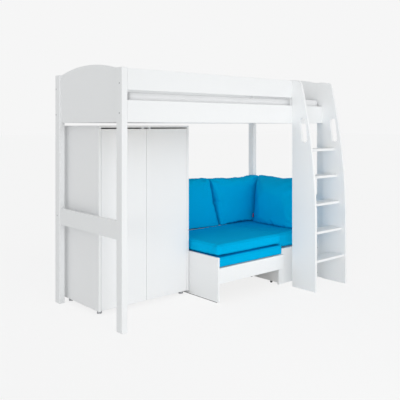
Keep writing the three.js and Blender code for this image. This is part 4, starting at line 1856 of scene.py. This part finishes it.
@dataclass
class Studio:
    """Floor, world, lamps and the camera at the photograph's view.

    Attributes:
        backdrop: the tone that the camera sees behind the object.
        sky: the colour of the light from all round.
        suns: the broad, distant lamps.
        sun_level: how high the suns' objects stand, which changes nothing in their light.
        boxes: the square lamps.
        floor_size: the length of the floor's side.
        floor_cells: how many cells that side has.
        floor_tone: the tone of the floor.
        floor_fleck: how much lighter its flecks are.
        flecks: the flecks, to a metre.
        floor_light: the light on the open floor.
        shadow_share: how much of the floor's own shading shows.
        camera_place: where the camera stands.
        camera_turn: how far it is turned from looking back, in radians.
        camera_reach: how far it sees.
        lens: its focal length in millimetres.
        shift: how far its frame is shifted across and up, as shares of its width.
    """

    backdrop: float = 0.922
    sky: Colour = (0.6, 0.605, 0.605)
    suns: tuple[Sun, ...] = (
        Sun("key", strength=0.36, width=22.0, height=8.0, turn=60.0),
        Sun("fill", strength=0.6, width=60.0, height=20.0, turn=-4.0),
    )
    sun_level: float = 3.0
    boxes: tuple[SoftBox, ...] = (
        SoftBox("soft_box", 8.3, 1.4, 110.0, place=(-1.35, -3.3, 0.72), target=(0.6, -0.3, 0.95)),
        SoftBox("side_box", 0.8, 0.8, 40.0, place=(-2.6, -2.67, 0.9), target=(0.95, -0.5, 0.9)),
    )
    floor_size: float = 160.0
    floor_cells: int = 40
    floor_tone: float = 0.95
    floor_fleck: float = 0.004
    flecks: float = 3.0
    floor_light: float = 0.76
    shadow_share: float = 0.14
    camera_place: Place = (-3.2298, -3.8204, 1.4208)
    camera_turn: float = -0.7549
    camera_reach: float = 200.0
    lens: float = 52.663
    shift: tuple[float, float] = (-0.10466, -0.18678)

    def build(self) -> None:
        """Makes the whole studio."""
        self._add_camera()
        self._add_world()
        self._add_lamps()
        self._add_floor()
        bpy.context.scene.view_settings.view_transform = "Standard"
        LOG.info("studio: camera, world, lamps and floor")

    def _add_camera(self) -> None:
        """Makes the camera, which looks level."""
        data = bpy.data.cameras.new("camera")
        data.lens = self.lens
        data.shift_x, data.shift_y = self.shift
        data.clip_end = self.camera_reach
        camera = bpy.data.objects.new("camera", data)
        camera.location = self.camera_place
        camera.rotation_euler = (math.pi / 2, 0.0, self.camera_turn)
        bpy.context.scene.collection.objects.link(camera)
        bpy.context.scene.camera = camera

    def _add_world(self) -> None:
        """Makes the world: a plain sky that lights, and the backdrop that the camera sees."""
        shader = Shader("studio", world=True)
        sky = shader.node("ShaderNodeBackground", None, {"Color": (*self.sky, 1.0)})
        seen = shader.node("ShaderNodeBackground", None, {"Color": (*grey(self.backdrop), 1.0)})
        rays = shader.node("ShaderNodeLightPath").outputs
        direct = shader.math("MAXIMUM", rays["Is Camera Ray"], rays["Is Glossy Ray"])
        either = shader.math("MAXIMUM", direct, rays["Is Transmission Ray"])
        bpy.context.scene.world = shader.close(shader.mix(either, sky, seen))

    def _add_lamps(self) -> None:
        """Makes the suns and the soft boxes."""
        for sun in self.suns:
            data = bpy.data.lights.new(sun.name, "SUN")
            data.energy = sun.strength
            data.angle = math.radians(sun.width)
            self._place_lamp(data, (0.0, 0.0, self.sun_level), 90.0 - sun.height, -sun.turn)
        for box in self.boxes:
            data = bpy.data.lights.new(box.name, "AREA")
            data.energy = box.power
            data.size = box.size
            data.spread = math.radians(box.spread)
            x, y, z = np.subtract(box.target, box.place)
            tilt, turn = math.atan2(math.hypot(x, y), -z), math.atan2(-x, y)
            self._place_lamp(data, box.place, math.degrees(tilt), math.degrees(turn))

    @staticmethod
    def _place_lamp(data: bpy.types.Light, place: Place, tilt: float, turn: float) -> None:
        """Adds a lamp.

        Args:
            data: the lamp.
            place: where it stands.
            tilt: how far it is raised from looking straight down, in degrees.
            turn: how far it is then turned about Z from looking back, in degrees.
        """
        lamp = bpy.data.objects.new(data.name, data)
        lamp.location = place
        lamp.rotation_euler = (math.radians(tilt), 0.0, math.radians(turn))
        bpy.context.scene.collection.objects.link(lamp)

    def _add_floor(self) -> None:
        """Makes the floor, which shows the backdrop's tone with the object's shadow on it."""
        half = self.floor_size / 2
        steps = np.linspace(-half, half, self.floor_cells + 1)
        x, y = np.meshgrid(steps, steps, indexing="ij")
        points = np.column_stack([x.ravel(), y.ravel(), np.zeros(x.size)])
        quads = quads_of(np.arange(x.size).reshape(x.shape))
        Surface(points, [quads]).placed("studio_floor", self._floor_finish())

    def _floor_finish(self) -> bpy.types.Material:
        """A matt floor, of which the camera sees a share over an even glow.

        The glow's tone makes the open floor as bright as the backdrop.

        Returns:
            The material.
        """
        shader = Shader("studio_floor")
        fleck = shader.noise(shader.point(), self.flecks, 2.0)
        tones = (grey(self.floor_tone), grey(self.floor_tone + self.floor_fleck))
        matt = shader.node("ShaderNodeBsdfDiffuse", None, {"Color": shader.blend(fleck, *tones)})
        share = self.shadow_share
        tone = (self.backdrop - share * self.floor_tone * self.floor_light) / (1 - share)
        glow = shader.node("ShaderNodeEmission", None, {"Color": (*grey(tone), 1.0)})
        rays = shader.node("ShaderNodeLightPath")
        seen = Value(shader, rays.outputs["Is Camera Ray"]) * (1 - share)
        return shader.close(shader.mix(seen, matt, glow))


# The whole piece


def main() -> None:
    """Loads the frame, dresses it and adds every piece that it lacks."""
    logging.basicConfig(level=logging.INFO, format="%(name)s %(message)s")
    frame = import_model()
    Studio().build()
    finishes = Finishes()
    parts = (BedFrame(), Ladder(), Wardrobe(), PullOutSeat(), CornerUnit())
    cushions = [cushion for part in parts for cushion in part.cushions(finishes)]
    swell(cushions)
    for cushion in cushions:
        cushion.build()
    for part in parts:
        part.dress(frame, finishes)
        part.build(finishes)
        LOG.info("%s is done", type(part).__name__)


if __name__ == "__main__":
    main()
